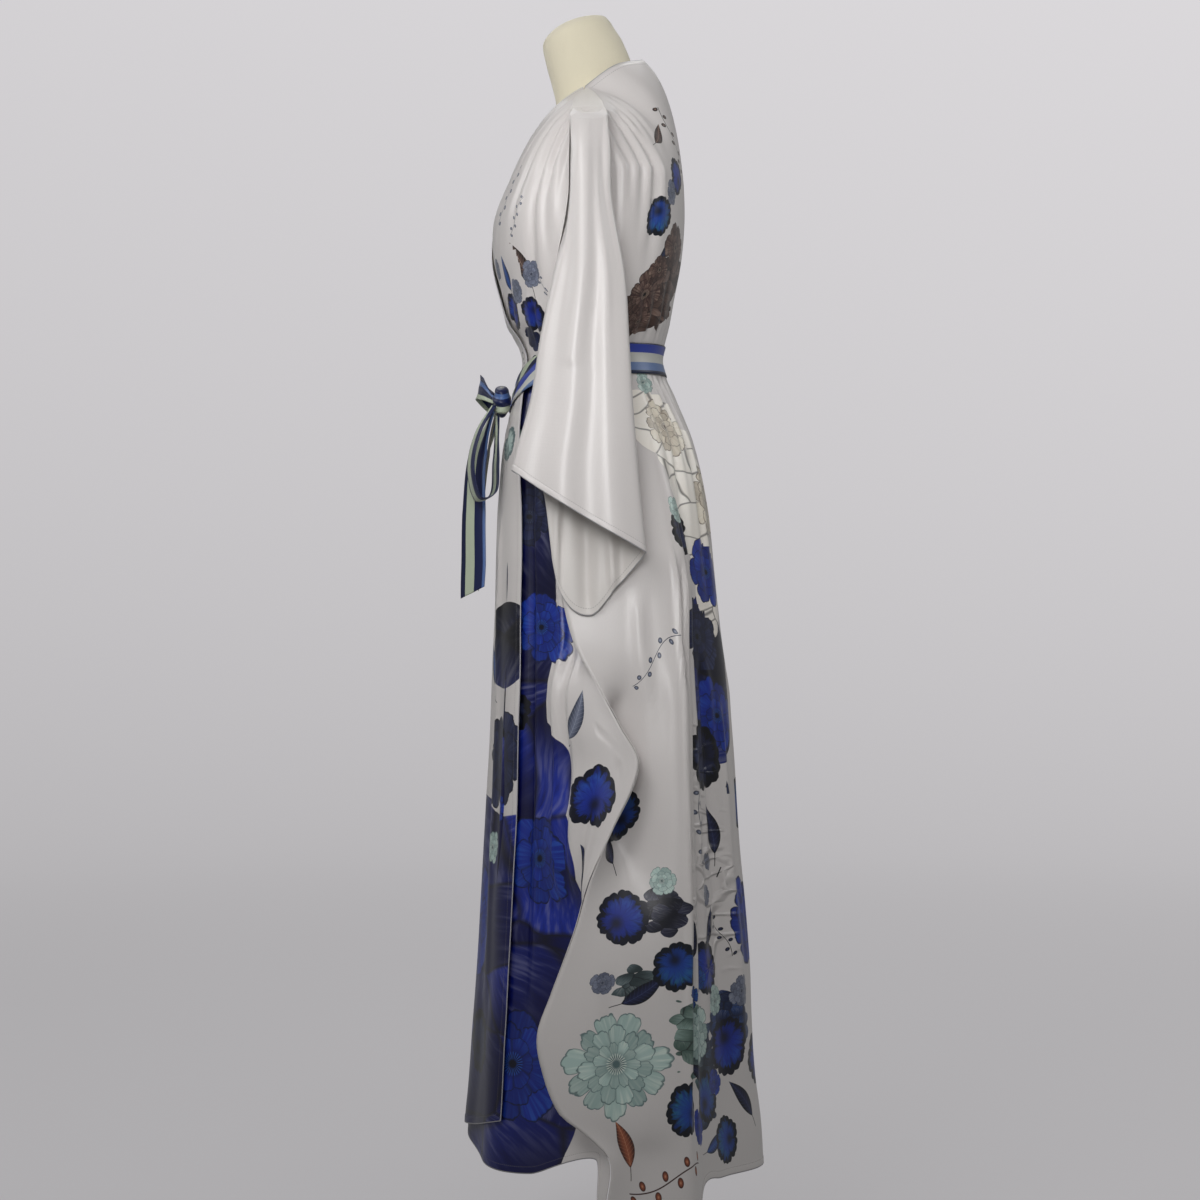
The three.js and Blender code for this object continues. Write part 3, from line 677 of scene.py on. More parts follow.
@dataclass
class Cloth:
    """A sheet of cloth over a grid of points.

    Attributes:
        name: the piece's name.
        points: rows, columns and coordinates, in millimetres.
        stations: each column's station.
        closed: True where the last column lies on the first.
        inward: True where the rows' right-hand normal points into the gown.
        free_side: True where the first column is a free, hemmed edge.
        neckline: the stations between which the top edge is free.
    """

    name: str
    points: np.ndarray
    stations: np.ndarray
    closed: bool = False
    inward: bool = False
    free_side: bool = False
    neckline: tuple[float, float] | None = None
    along: np.ndarray = field(init=False)
    up: np.ndarray = field(init=False)
    edge: np.ndarray = field(init=False)
    run: np.ndarray = field(init=False)
    length: float = field(init=False)

    def __post_init__(self) -> None:
        """Works out the flat coordinates and the distance from the hem, before any crease."""
        across = np.linalg.norm(np.diff(self.points, axis=1), axis=2)
        upward = np.linalg.norm(np.diff(self.points, axis=0), axis=2)
        self.along = np.concatenate([np.zeros((len(self.points), 1)), np.cumsum(across, axis=1)], axis=1)
        self.along -= self.along[:, [self.along.shape[1] // 2]]
        self.up = np.concatenate([np.zeros((1, upward.shape[1])), np.cumsum(upward, axis=0)], axis=0)
        self.length = float(self.up[-1].max())
        self.edge, self.run = self.up.copy(), self.along.copy()
        if self.free_side:
            self.nearer(self.along - self.along[:, [0]], self.up)
        if self.neckline:
            open_top = (self.stations >= self.neckline[0]) & (self.stations <= self.neckline[1])
            self.nearer(self.up[-1] - self.up + np.where(open_top, 0, SEWN), self.along)
        self.up += self.points[0, :, 2]

    def nearer(self, edge: np.ndarray, run: np.ndarray) -> None:
        """Takes another free edge into account where it is nearer than those before it."""
        closer = edge < self.edge
        self.edge = np.where(closer, edge, self.edge)
        self.run = np.where(closer, run, self.run)

    def normals(self) -> np.ndarray:
        """The grid's unit normals, pointing out of the gown."""
        up = np.gradient(self.points, axis=0)
        if self.closed:
            ring = self.points[:, :-1]
            turn = (np.roll(ring, -1, axis=1) - np.roll(ring, 1, axis=1)) / 2
            turn = np.concatenate([turn, turn[:, :1]], axis=1)
        else:
            turn = np.gradient(self.points, axis=1)
        normal = np.cross(turn, up)
        normal /= np.maximum(np.linalg.norm(normal, axis=2, keepdims=True), 1e-9)
        return -normal if self.inward else normal

    def flat(self, place: Place) -> np.ndarray:
        """The flat coordinates of a place, in millimetres."""
        aside = np.abs(self.stations[None, :] - place.station) * STATION
        miss = aside + np.abs(self.points[:, :, 2] - place.z)
        row, column = np.unravel_index(np.argmin(miss), miss.shape)
        return np.array([self.along[row, column], self.up[row, column]])

    def push(self, amount: np.ndarray) -> None:
        """Moves the points along their normals by an amount in millimetres."""
        self.points = self.points + self.normals() * amount[:, :, None]

    def crease(self, creases: Iterable[Crease]) -> None:
        """Presses creases into the cloth."""
        total = np.zeros(self.along.shape)
        for crease in creases:
            total += self.trough(crease)
        self.push(total)

    def trough(self, crease: Crease, steps: int = 14) -> np.ndarray:
        """One crease's height over the grid.

        Args:
            crease: the crease.
            steps: how many straight steps its line has.

        Returns:
            The height in millimetres at each point.
        """
        start, end = self.flat(crease.start), self.flat(crease.end)
        run = end - start
        aside = np.array([-run[1], run[0]]) / max(float(np.linalg.norm(run)), 1e-6)
        middle = (start + end) / 2 + aside * crease.bow
        here = np.stack([self.along, self.up], axis=2)
        best = np.full(self.along.shape, 1e9)
        side = np.zeros(self.along.shape)
        place = np.zeros(self.along.shape)
        for i in range(steps):
            t0, t1 = i / steps, (i + 1) / steps
            a = start * (1 - t0) ** 2 + middle * 2 * t0 * (1 - t0) + end * t0**2
            b = start * (1 - t1) ** 2 + middle * 2 * t1 * (1 - t1) + end * t1**2
            leg = b - a
            t = np.clip(((here - a) @ leg) / (leg @ leg), 0, 1)
            off = here - a - t[:, :, None] * leg
            away = np.linalg.norm(off, axis=2)
            near = away < best
            best = np.where(near, away, best)
            side = np.where(near, np.sign(leg[0] * off[:, :, 1] - leg[1] * off[:, :, 0]), side)
            place = np.where(near, t0 + t / steps, place)
        spread = crease.width * (0.6 + 0.8 * place)
        taper = smooth(place / 0.08 + 0.25) * smooth((1 - place) / max(1 - crease.keep, 0.05))
        lip = crease.lip * np.exp(-(((best * side - 1.7 * spread) / spread) ** 2))
        return crease.depth * taper * (np.exp(-((best / spread) ** 2)) - lip)

    def slacken(self, height: float, span: float, seed: int, stretch: float = 2.5) -> None:
        """Adds slow, uneven slack to the whole cloth.

        Args:
            height: how far it moves, in millimetres.
            span: the width of one soft swell, in millimetres.
            seed: where in the noise it is read.
            stretch: how much longer a swell is than it is wide.
        """
        rows, columns = self.along.shape
        amount = np.zeros((rows, columns))
        for r in range(rows):
            for c in range(columns):
                turn = 2 * math.pi * c / (columns - 1) if self.closed else 0.0
                x = math.cos(turn) * 1.2 if self.closed else self.along[r, c] / span
                y = math.sin(turn) * 1.2 if self.closed else 0.0
                amount[r, c] = noise.noise(Vector((x + seed, y, self.up[r, c] / (span * stretch))))
        self.push(amount * height)

    def turn_hem(self, deep: float = 9.0, rise: float = 0.5) -> None:
        """Raises the turned and stitched hem, with a small pucker beside the stitches."""
        band = smooth((deep - self.edge) / 1.5 + 0.5)
        pucker = np.sin(self.run / 3.1) * np.exp(-(((self.edge - deep) / 3) ** 2))
        self.push(band * rise + pucker * 0.12)

    def extent(self) -> tuple[float, float]:
        """The cloth's greatest width and length laid flat, in metres."""
        wide = float((self.along[:, -1] - self.along[:, 0]).max())
        return wide * MM, self.length * MM

    def build(self) -> Piece:
        """Makes the mesh, with its flat coordinates and its hem coordinates as UV maps."""
        rows, columns = self.along.shape
        mesh_data = bmesh.new()
        bmesh.ops.create_grid(mesh_data, x_segments=columns - 1, y_segments=rows - 1, size=1)
        flat = mesh_data.loops.layers.uv.new("flat")
        hem = mesh_data.loops.layers.uv.new("hem")
        spot = {}
        for vert in mesh_data.verts:
            c = round((vert.co.x + 1) / 2 * (columns - 1))
            r = round((vert.co.y + 1) / 2 * (rows - 1))
            spot[vert] = (r, c)
            vert.co = Vector(self.points[r, c]) * MM
        for face in mesh_data.faces:
            face.smooth = True
            for loop in face.loops:
                r, c = spot[loop.vert]
                loop[flat].uv = (self.along[r, c] * MM, self.up[r, c] * MM)
                loop[hem].uv = (self.run[r, c] * MM, self.edge[r, c] * MM)
        if self.inward:
            bmesh.ops.reverse_faces(mesh_data, faces=mesh_data.faces)
        if self.closed:
            bmesh.ops.remove_doubles(mesh_data, verts=mesh_data.verts, dist=1e-6)
        return finished(self.name, mesh_data)


def finished(name: str, mesh_data: bmesh.types.BMesh) -> Piece:
    """A scene object from a bmesh, which is freed.

    Args:
        name: the object's name.
        mesh_data: its geometry, in metres.

    Returns:
        The object, at the origin.
    """
    mesh = bpy.data.meshes.new(name)
    mesh_data.to_mesh(mesh)
    mesh_data.free()
    piece = bpy.data.objects.new(name, mesh)
    bpy.context.scene.collection.objects.link(piece)
    return piece


def dressed(
    piece: Piece, finishes: Sequence[Material], node: str | None, thick: float = 0.0
) -> Piece:
    """Gives a piece its finishes and its thickness, hides the solid that it stands for and attaches it to the
    root body.

    Args:
        piece: the piece.
        finishes: the right side's finish, then the wrong side's if it has another.
        node: the solid that it stands for, if any.
        thick: a sheet's thickness in millimetres, half to each side, or 0 for a closed piece.

    Returns:
        The piece.
    """
    for finish in finishes:
        piece.data.materials.append(finish)
    if thick:
        wall = piece.modifiers.new("thickness", "SOLIDIFY")
        wall.thickness = thick * MM
        wall.offset = 0
        wall.material_offset = len(finishes) - 1
    if node:
        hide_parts(node)
    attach(piece, "root")
    return piece


def hung(piece: Piece) -> Piece:
    """Returns a panel as it is; it adds nothing to it."""
    return piece


def spun(profile: Sequence[tuple[float, float]], steps: int) -> bmesh.types.BMesh:
    """Spins a profile of radius and height, in metres, round the vertical axis.

    Args:
        profile: its points.
        steps: how many steps a turn has.

    Returns:
        The surface.
    """
    lathe = bmesh.new()
    verts = [lathe.verts.new((radius, 0, z)) for radius, z in profile]
    line = verts + [lathe.edges.new(pair) for pair in zip(verts, verts[1:])]
    turn = {"axis": (0, 0, 1), "cent": (0, 0, 0), "angle": math.tau, "steps": steps}
    bmesh.ops.spin(lathe, geom=line, use_merge=True, **turn)
    bmesh.ops.remove_doubles(lathe, verts=lathe.verts, dist=MERGE)
    for face in lathe.faces:
        face.smooth = True
    return lathe


@dataclass
class Print:
    """The design printed on a panel: washes of ground colour under layers of motifs."""

    stamps: Sequence[Stamp]
    washes: Sequence[Wash]

    def apply(self, piece: Piece, cloth: Cloth) -> None:
        """Writes the design's coordinates and colours onto the mesh's face corners.

        Args:
            piece: the panel's object.
            cloth: the panel's surface, which turns places into flat coordinates.
        """
        mesh = piece.data
        uv = np.zeros(len(mesh.loops) * 2)
        mesh.uv_layers["flat"].data.foreach_get("uv", uv)
        uv = uv.reshape(-1, 4, 2) / MM
        centres = uv.mean(axis=1)
        for motif in Motif:
            local = np.full((len(centres), 4, 3), OUTSIDE)
            for stamp in (s for s in self.stamps if s.motif is motif):
                middle = cloth.flat(stamp.at)
                mine = np.linalg.norm(centres - middle, axis=1) < stamp.region + 4
                turn = math.radians(stamp.turn)
                axes = np.array([[math.cos(turn), -math.sin(turn)], [math.sin(turn), math.cos(turn)]])
                local[mine, :, :2] = ((uv[mine] - middle) @ axes) / stamp.size
                local[mine, :, 2] = stamp.dye.value * INK_STEP + stamp.petals
            layer = mesh.attributes.new(motif.value, "FLOAT_VECTOR", "CORNER")
            layer.data.foreach_set("vector", local.reshape(-1))
        for layer in Layer:
            self.apply_washes(mesh, uv.reshape(-1, 2), cloth, layer)

    def apply_washes(self, mesh: bpy.types.Mesh, uv: np.ndarray, cloth: Cloth, layer: Layer) -> None:
        """Writes a layer of washes: their mean colour, and how fully they cover as its alpha.

        Args:
            mesh: the panel's mesh.
            uv: its corners' flat coordinates, in millimetres.
            cloth: the panel's surface.
            layer: the layer written.
        """
        total = np.zeros((len(uv), 3))
        weight = np.full(len(uv), 1e-4)
        cover = np.zeros(len(uv))
        for wash in (w for w in self.washes if w.layer is layer):
            away = (uv - cloth.flat(wash.at)) / (wash.wide, wash.tall)
            share = np.exp(-((away**2).sum(axis=1) ** 2)) * wash.strength
            total += share[:, None] * np.array(srgb(*wash.colour)[:3])
            weight += share
            cover = np.maximum(cover, share)
        colours = np.concatenate([total / weight[:, None], cover[:, None]], axis=1)
        data = mesh.attributes.new(layer.value, "FLOAT_COLOR", "CORNER").data
        data.foreach_set("color", colours.reshape(-1))


# Materials

Colour = tuple[float, float, float, float]
Shade = Colour | Socket
Number = "Signal | float"


def operator(operation: str, swapped: bool = False) -> Callable[..., "Signal"]:
    """A method that adds a Math node on this and any other number, or on the other and this."""

    def method(self: "Signal", *others: Number) -> "Signal":
        """What the node gives."""
        return self.math(operation, *((*others, self) if swapped else (self, *others)))

    return method


class Signal:
    """A number that varies over a surface. A sum on it adds Math nodes."""

    def __init__(self, tree: "Tree", socket: Socket) -> None:
        """Wraps a socket of a tree."""
        self.tree = tree
        self.socket = socket

    def math(self, operation: str, *values: Number) -> "Signal":
        """A Math node on the given values."""
        node = self.tree.node("ShaderNodeMath", {"operation": operation}, dict(enumerate(values)))
        return Signal(self.tree, node.outputs[0])

    __add__ = __radd__ = operator("ADD")
    __mul__ = __rmul__ = operator("MULTIPLY")
    __sub__ = operator("SUBTRACT")
    __rsub__ = operator("SUBTRACT", swapped=True)
    __truediv__ = operator("DIVIDE")
    __pow__ = operator("POWER")
    __mod__ = operator("FLOORED_MODULO")
    __lt__ = operator("LESS_THAN")
    __gt__ = operator("GREATER_THAN")
    __abs__ = operator("ABSOLUTE")
    floor = operator("FLOOR")
    sine = operator("SINE")
    cosine = operator("COSINE")

    def step(self, low: float, high: float) -> "Signal":
        """An eased step from 0 at low to 1 at high."""
        node = self.tree.node(
            "ShaderNodeMapRange",
            {"interpolation_type": "SMOOTHSTEP"},
            {"Value": self, "From Min": low, "From Max": high},
        )
        return Signal(self.tree, node.outputs[0])


class Tree:
    """A material's nodes."""

    def __init__(self, name: str) -> None:
        """Starts an empty material."""
        self.material = bpy.data.materials.new(name)
        self.material.use_nodes = True
        self.material.node_tree.nodes.clear()

    def node(self, kind: str, settings: dict | None = None, inputs: dict | None = None) -> bpy.types.Node:
        """Adds a node.

        Args:
            kind: the node's type.
            settings: its properties, and a ramp's stops.
            inputs: values or links, by the socket's name or number.

        Returns:
            The node.
        """
        node = self.material.node_tree.nodes.new(kind)
        for key, value in (settings or {}).items():
            if key == "stops":
                ramp = node.color_ramp
                while len(ramp.elements) < len(value):
                    ramp.elements.new(1)
                for element, (place, colour) in zip(ramp.elements, value):
                    element.position = place
                    element.color = colour
            elif key == "ramp":
                node.color_ramp.interpolation = value
            else:
                setattr(node, key, value)
        for key, value in (inputs or {}).items():
            target = node.inputs[key]
            if isinstance(value, Signal):
                value = value.socket
            if isinstance(value, Socket):
                self.material.node_tree.links.new(value, target)
            else:
                target.default_value = value
        return node

    def signal(self, socket: Socket) -> Signal:
        """A socket as a number."""
        return Signal(self, socket)

    def split(self, socket: Socket) -> tuple[Signal, Signal, Signal]:
        """A vector's three numbers."""
        outputs = self.node("ShaderNodeSeparateXYZ", inputs={0: socket}).outputs
        return tuple(self.signal(output) for output in outputs)

    def join(self, x: Number, y: Number, z: Number = 0.0) -> Socket:
        """A vector from three numbers."""
        return self.node("ShaderNodeCombineXYZ", inputs={0: x, 1: y, 2: z}).outputs[0]

    def attribute(self, name: str) -> bpy.types.Node:
        """An attribute of the mesh."""
        return self.node("ShaderNodeAttribute", {"attribute_name": name})

    def flat(self, name: str) -> Socket:
        """A UV map's coordinates."""
        return self.node("ShaderNodeUVMap", {"uv_map": name}).outputs[0]

    def noise(self, vector: Socket, scale: float, detail: float = 2.0) -> Signal:
        """Soft noise from 0 to 1."""
        inputs = {"Vector": vector, "Scale": scale, "Detail": detail}
        return self.signal(self.node("ShaderNodeTexNoise", inputs=inputs).outputs[0])

    def warped(self, vector: Socket, scale: float, amount: float) -> Socket:
        """Coordinates bent by soft noise."""
        noise_of = self.node("ShaderNodeTexNoise", inputs={"Vector": vector, "Scale": scale, "Detail": 1.0})
        inputs = {0: noise_of.outputs["Color"], 1: (amount, amount, 0), 2: vector}
        return self.node("ShaderNodeVectorMath", {"operation": "MULTIPLY_ADD"}, inputs).outputs[0]

    def mix(self, share: Number, a: Shade, b: Shade, blend_type: str = "MIX") -> Socket:
        """A colour between two others."""
        settings = {"data_type": "RGBA", "blend_type": blend_type}
        return self.node("ShaderNodeMix", settings, {0: share, 6: a, 7: b}).outputs[2]

    def toned(self, colour: Shade, tone: Signal) -> Socket:
        """A colour made lighter or darker by a number."""
        return self.mix(1.0, colour, self.join(tone, tone, tone), "MULTIPLY")

    def stretched(self, vector: Socket, scale: Point, turn: float = 0.0) -> Socket:
        """Coordinates turned about z, in radians, and scaled."""
        return self.node("ShaderNodeMapping", inputs={0: vector, 2: (0, 0, turn), 3: scale}).outputs[0]

    def bump(self, height: Signal, distance: float, strength: float = 1.0) -> Socket:
        """A normal from a height."""
        inputs = {"Height": height, "Distance": distance, "Strength": strength}
        return self.node("ShaderNodeBump", inputs=inputs).outputs[0]

    def surface(self, colour: Shade, roughness: Number, others: dict) -> Material:
        """Ends the tree with a principled surface of a colour, a roughness and other inputs by name."""
        inputs = {"Base Color": colour, "Roughness": roughness, **others}
        shader = self.node("ShaderNodeBsdfPrincipled", inputs=inputs)
        self.node("ShaderNodeOutputMaterial", inputs={"Surface": shader.outputs[0]})
        return self.material


@dataclass(frozen=True)
class Ink:
    """One ink set of the print: its light, middle and dark."""

    light: tuple[int, int, int]
    middle: tuple[int, int, int]
    dark: tuple[int, int, int]


INKS = {
    Dye.ROYAL: Ink((44, 90, 186), (20, 44, 146), (5, 8, 30)),
    Dye.NAVY: Ink((62, 72, 110), (24, 30, 66), (5, 6, 16)),
    Dye.TEAL: Ink((48, 122, 150), (24, 62, 146), (4, 12, 26)),
    Dye.SAGE: Ink((228, 236, 226), (178, 202, 196), (88, 110, 112)),
    Dye.CREAM: Ink((246, 241, 228), (232, 223, 206), (104, 88, 76)),
    Dye.UMBER: Ink((176, 152, 136), (80, 58, 54), (16, 12, 14)),
    Dye.SLATE: Ink((160, 166, 180), (112, 118, 138), (52, 58, 76)),
    Dye.RUST: Ink((204, 142, 108), (156, 88, 62), (62, 34, 30)),
}


@dataclass(frozen=True)
class Satin:
    """Silk satin, plain or printed.

    Attributes:
        name: the material's name.
        ground: the cloth's own colour.
        roughness: how matt its face is.
        sheen: strength of the soft sheen.
        printed: True where the panel carries the print.
        fade: how far the print is paled, as on the wrong side.
        petals: for each layer of washes, how many petals there are to a metre and how deep their shade is.
        relief: how far the weave, the grain, the stitches and the pressed wrinkles bump.
    """

    name: str
    ground: tuple[int, int, int] = (214, 209, 207)
    roughness: float = 0.33
    sheen: float = 0.08
    printed: bool = False
    fade: float = 0.0
    petals: tuple[tuple[Layer, float, float], ...] = (
        (Layer.BROAD, 10.5, 1.0),
        (Layer.PLATES, 30.0, 0.3),
        (Layer.FOLIAGE, 70.0, 0.8),
    )
    relief: tuple[float, float, float, float] = (0.35, 0.5, 1.2, 40.0)

    def material(self) -> Material:
        """Builds the satin."""
        tree = Tree(self.name)
        uv = tree.flat("flat")
        broad = tree.noise(uv, 5.0, 3.0)
        fine = tree.noise(tree.stretched(uv, (900, 120, 1)), 1.0, 2.0)
        tone = broad * 0.05 + fine * 0.04 + 0.955
        colour = srgb(*self.ground)
        if self.printed:
            for layer, scale, contrast in self.petals:
                colour = self.petalled(tree, uv, colour, layer, scale, contrast)
            colour = self.sprigs(tree, colour)
            colour = self.leaves(tree, colour)
            colour = self.layered(tree, colour, Motif.PETALS, uv)
            colour = self.ruffled(tree, colour, uv)
            colour = self.layered(tree, colour, Motif.POSY, uv)
            colour = tree.mix(self.fade, colour, srgb(*self.ground))
        colour = tree.toned(colour, tone)
        along, edge, _ = tree.split(tree.flat("hem"))
        stitch = self.stitches(along, edge)
        colour = tree.mix(stitch * 0.35, colour, srgb(96, 92, 90))
        # Painted highlight: a pale grey line along every free edge stands for the folded edge catching light;
        # on the white ground it shows as a faint grey edge.
        colour = tree.mix(1 - edge.step(0.0009, 0.0016), colour, srgb(176, 174, 178))
        floats, grain, sunk, wrinkled = self.relief
        height = self.weave(tree, uv) * floats + fine * grain - stitch * sunk
        if self.printed:
            height = height + self.pressed(tree, uv) * wrinkled
        others = {"Sheen Weight": self.sheen, "Sheen Roughness": 0.35, "Specular IOR Level": 0.55}
        others["Normal"] = tree.bump(height, 0.00022, 0.6)
        return tree.surface(colour, broad * 0.08 + fine * 0.05 + (self.roughness - 0.06), others)

    def stitches(self, along: Signal, edge: Signal, deep: float = 0.009, pitch: float = 0.0032) -> Signal:
        """The hem's row of stitches, as a mask."""
        row = 1 - abs(edge - deep).step(0.0003, 0.0007)
        return row * ((along / pitch) % 1.0 < 0.68)

    def weave(self, tree: Tree, uv: Socket, pitch: float = 0.0009) -> Signal:
        """The satin's long floats, as a height."""
        x, y, _ = tree.split(uv)
        row = (y / pitch).floor()
        return abs(((x / (pitch * 5) + row * 0.4) % 1.0) - 0.5) * ((y / pitch) * math.pi).sine()

    def pressed(self, tree: Tree, uv: Socket) -> Signal:
        """Fine broken wrinkles where the satin was pressed, as a height."""
        mask = tree.signal(tree.attribute(Layer.PRESSED.value).outputs["Alpha"])
        slanted = tree.stretched(uv, (0.55, 1.5, 1), turn=0.5)
        cells = {"Vector": tree.warped(slanted, 14.0, 0.05), "Scale": 26.0}
        edges = tree.node("ShaderNodeTexVoronoi", {"feature": "DISTANCE_TO_EDGE"}, cells)
        ridge = 1 - tree.signal(edges.outputs["Distance"]).step(0.0, 0.13)
        return ridge * tree.noise(uv, 22.0, 2.0).step(0.34, 0.52) * mask

    def petalled(
        self, tree: Tree, uv: Socket, colour: Shade, layer: Layer, scale: float, contrast: float
    ) -> Socket:
        """The ground with a layer of washes, each made of overlapping petals with a scalloped outline.

        Args:
            tree: the material.
            uv: the cloth's flat coordinates.
            colour: what lies under them.
            layer: the layer of washes.
            scale: how many petals there are to a metre.
            contrast: how dark the shade between them is.

        Returns:
            The colour with the washes on it.
        """
        wash = tree.attribute(layer.value)
        base = wash.outputs["Color"]
        bent = tree.warped(tree.stretched(uv, (0.55, 1.0, 1)), scale * 0.8, 0.5 / scale)
        spread = {"Vector": bent, "Scale": scale}
        cells = tree.node("ShaderNodeTexVoronoi", {"feature": "F1"}, spread)
        rims = tree.node("ShaderNodeTexVoronoi", {"feature": "DISTANCE_TO_EDGE"}, spread)
        near = tree.signal(cells.outputs["Distance"])
        turn, tone, _ = tree.split(cells.outputs["Color"])
        settings = {"operation": "SUBTRACT"}
        away = tree.node("ShaderNodeVectorMath", settings, {0: bent, 1: cells.outputs["Position"]}).outputs[0]
        x, y, _ = tree.split(away)
        sine, cosine = (turn * math.tau).sine(), (turn * math.tau).cosine()
        along = (x * cosine + y * sine) * scale
        across = (y * cosine - x * sine) * scale
        cover = tree.signal(wash.outputs["Alpha"]) + (0.5 - near) * 0.5
        shade = along.step(-0.45, 0.5)
        streak = tree.noise(tree.join(across * 16 + along * across * 5, along * 2, turn * 40), 1.0, 3.0)
        deep = tree.mix(1.0, base, base, "MULTIPLY")
        deep = tree.mix(contrast * 0.5, deep, srgb(8, 8, 20), "MULTIPLY")
        pale = tree.mix(0.3, base, srgb(238, 236, 230))
        body = tree.mix(1 - (1 - shade * (tone.step(0.1, 0.5) * 0.8 + 0.2)) * contrast, deep, base)
        body = tree.mix(streak.step(0.46, 0.7) * shade * 0.35, body, pale)
        body = tree.mix((1 - streak.step(0.25, 0.5)) * 0.6 * contrast, body, deep)
        rim = 1 - tree.signal(rims.outputs["Distance"]).step(0.0, 0.05)
        body = tree.mix(rim * 0.75, body, srgb(16, 14, 24))
        return tree.mix(cover.step(0.49, 0.5), colour, body)

    def local(self, tree: Tree, motif: Motif) -> tuple[tuple[Signal, ...], tuple[Socket, ...]]:
        """A motif's local x, y and code, and the light, middle and dark of the ink set it names."""
        x, y, code = tree.split(tree.attribute(motif.value).outputs["Vector"])
        place = (code / INK_STEP).floor() / len(Dye) + 0.5 / len(Dye)
        sets = []
        for key in ("light", "middle", "dark"):
            stops = [(dye.value / len(Dye), srgb(*getattr(ink, key))) for dye, ink in INKS.items()]
            ramp = tree.node("ShaderNodeValToRGB", {"stops": stops, "ramp": "CONSTANT"}, {0: place})
            sets.append(ramp.outputs[0])
        return (x, y, code), tuple(sets)

    def layered(self, tree: Tree, colour: Socket, motif: Motif, uv: Socket) -> Socket:
        """Round flowers of three whorls, with veined petals, dark rims and a tuft of stamens.

        Args:
            tree: the material.
            colour: what lies under them.
            motif: the layer.
            uv: the cloth's flat coordinates.

        Returns:
            The colour with the flowers on it.
        """
        (x, y, code), (light, middle, dark) = self.local(tree, motif)
        petals = code % INK_STEP
        far = (x * x + y * y) ** 0.5
        angle = x.math("ARCTAN2", y, x)
        wobble = tree.noise(uv, 36.0, 3.0) - 0.5
        vein = tree.noise(tree.join(x / (far + 0.001) * 12, y / (far + 0.001) * 12, far * 1.4), 1.0, 2.0)
        bulge = petals * 0.018 + 0.05
        frill = abs((angle * petals * 1.5).cosine()) ** 0.6
        for size, phase in ((1.0, 0.0), (0.74, 1.0), (0.46, 0.3)):
            lobe = abs((angle * petals * 0.5 + (phase * math.pi / 2)).cosine())
            petal = (angle * petals / math.tau + (phase / 2 + 0.5)).floor() % petals
            tone = (petal * 2.4 + code + size * 9).sine() * 0.5 + 0.5
            reach = (lobe**0.45) * bulge + frill * 0.045 + tone * 0.14 + (0.8 - bulge) + wobble * 0.34
            depth = far / (reach * size)
            gap = lobe.step(0.0, 0.34) * 0.6 + 0.4
            body = tree.mix(depth.step(0.1, 0.7) * gap * (tone * 0.45 + 0.55), dark, middle)
            veined = vein.step(0.4, 0.7) * (tone * 0.4 + 0.2)
            body = tree.mix(depth.step(0.4, 0.9) * gap * veined, body, light)
            body = tree.mix(depth.step(0.94, 0.975) * 0.85, body, dark)
            colour = tree.mix(1 - depth.step(0.985, 1.0), colour, body)
        stamen = ((angle * 24).cosine() > 0.3) * (1 - far.step(0.16, 0.2)) * far.step(0.05, 0.09)
        colour = tree.mix((1 - far.step(0.12, 0.16)) * 0.8, colour, dark)
        return tree.mix(stamen * 0.8, colour, light)

    def ruffled(self, tree: Tree, colour: Socket, uv: Socket) -> Socket:
        """Open flowers in one piece, their throat off their middle, with a ruffled dark rim.

        Args:
            tree: the material.
            colour: what lies under them.
            uv: the cloth's flat coordinates.

        Returns:
            The colour with the flowers on it.
        """
        (x, y, code), (light, middle, dark) = self.local(tree, Motif.BLOOM)
        petals = code % INK_STEP
        flat = y * 1.16
        angle = x.math("ARCTAN2", flat, x)
        wobble = tree.noise(uv, 30.0, 3.0) - 0.5
        lobes = abs((angle * petals * 0.5).cosine()) ** 0.5 * 0.1
        ruffles = abs((angle * petals * 1.5).cosine()) * 0.05
        reach = lobes + ruffles + wobble * 0.35 + 0.8
        depth = ((x * x + flat * flat) ** 0.5) / reach
        low = flat + 0.3
        throat = (x * x + low * low) ** 0.5
        ray = x.math("ARCTAN2", low, x)
        vein = abs((ray * 9 + wobble * 5).sine())
        fringe = tree.noise(tree.join(ray * 7, depth * 3, code), 1.0, 2.0)
        crease = abs((angle * petals * 0.5 + wobble * 2).cosine()).step(0.0, 0.45)
        body = tree.mix(throat.step(0.3, 1.15) * fringe.step(0.3, 0.65), middle, light)
        body = tree.mix((1 - throat.step(0.04, 0.4)) * 0.9, body, dark)
        body = tree.mix((1 - crease) * depth.step(0.2, 0.8) * 0.75, body, dark)
        body = tree.mix((1 - vein.step(0.0, 0.2)) * throat.step(0.15, 0.5) * 0.45, body, dark)
        body = tree.mix(depth.step(0.4, 0.85) * 0.45, body, dark)
        body = tree.mix((depth + (fringe - 0.5) * 0.7).step(0.68, 0.8), body, dark)
        return tree.mix(1 - depth.step(0.985, 1.0), colour, body)

    def leaves(self, tree: Tree, colour: Socket) -> Socket:
        """Pointed leaves on thin stems, with their veins."""
        (x, y, _), (light, middle, dark) = self.local(tree, Motif.LEAF)
        bend = y - (x * x) * 0.12
        half = (1 - x * x) * (x * -0.12 + 0.3)
        inside = (half - abs(bend)).step(0.0, 0.012) * (abs(x) < 1.0)
        veins = ((x * 6 + abs(bend) * -5) % 1.0).step(0.86, 0.97)
        body = tree.mix((abs(bend) / (half + 0.001)).step(0.1, 1.0), middle, dark)
        body = tree.mix(veins * 0.6 + (1 - abs(bend).step(0.006, 0.016)) * 0.7, body, light)
        stem = (1 - abs(bend).step(0.012, 0.02)) * (x < -0.9) * (x > -1.45)
        return tree.mix(stem, tree.mix(inside, colour, body), dark)

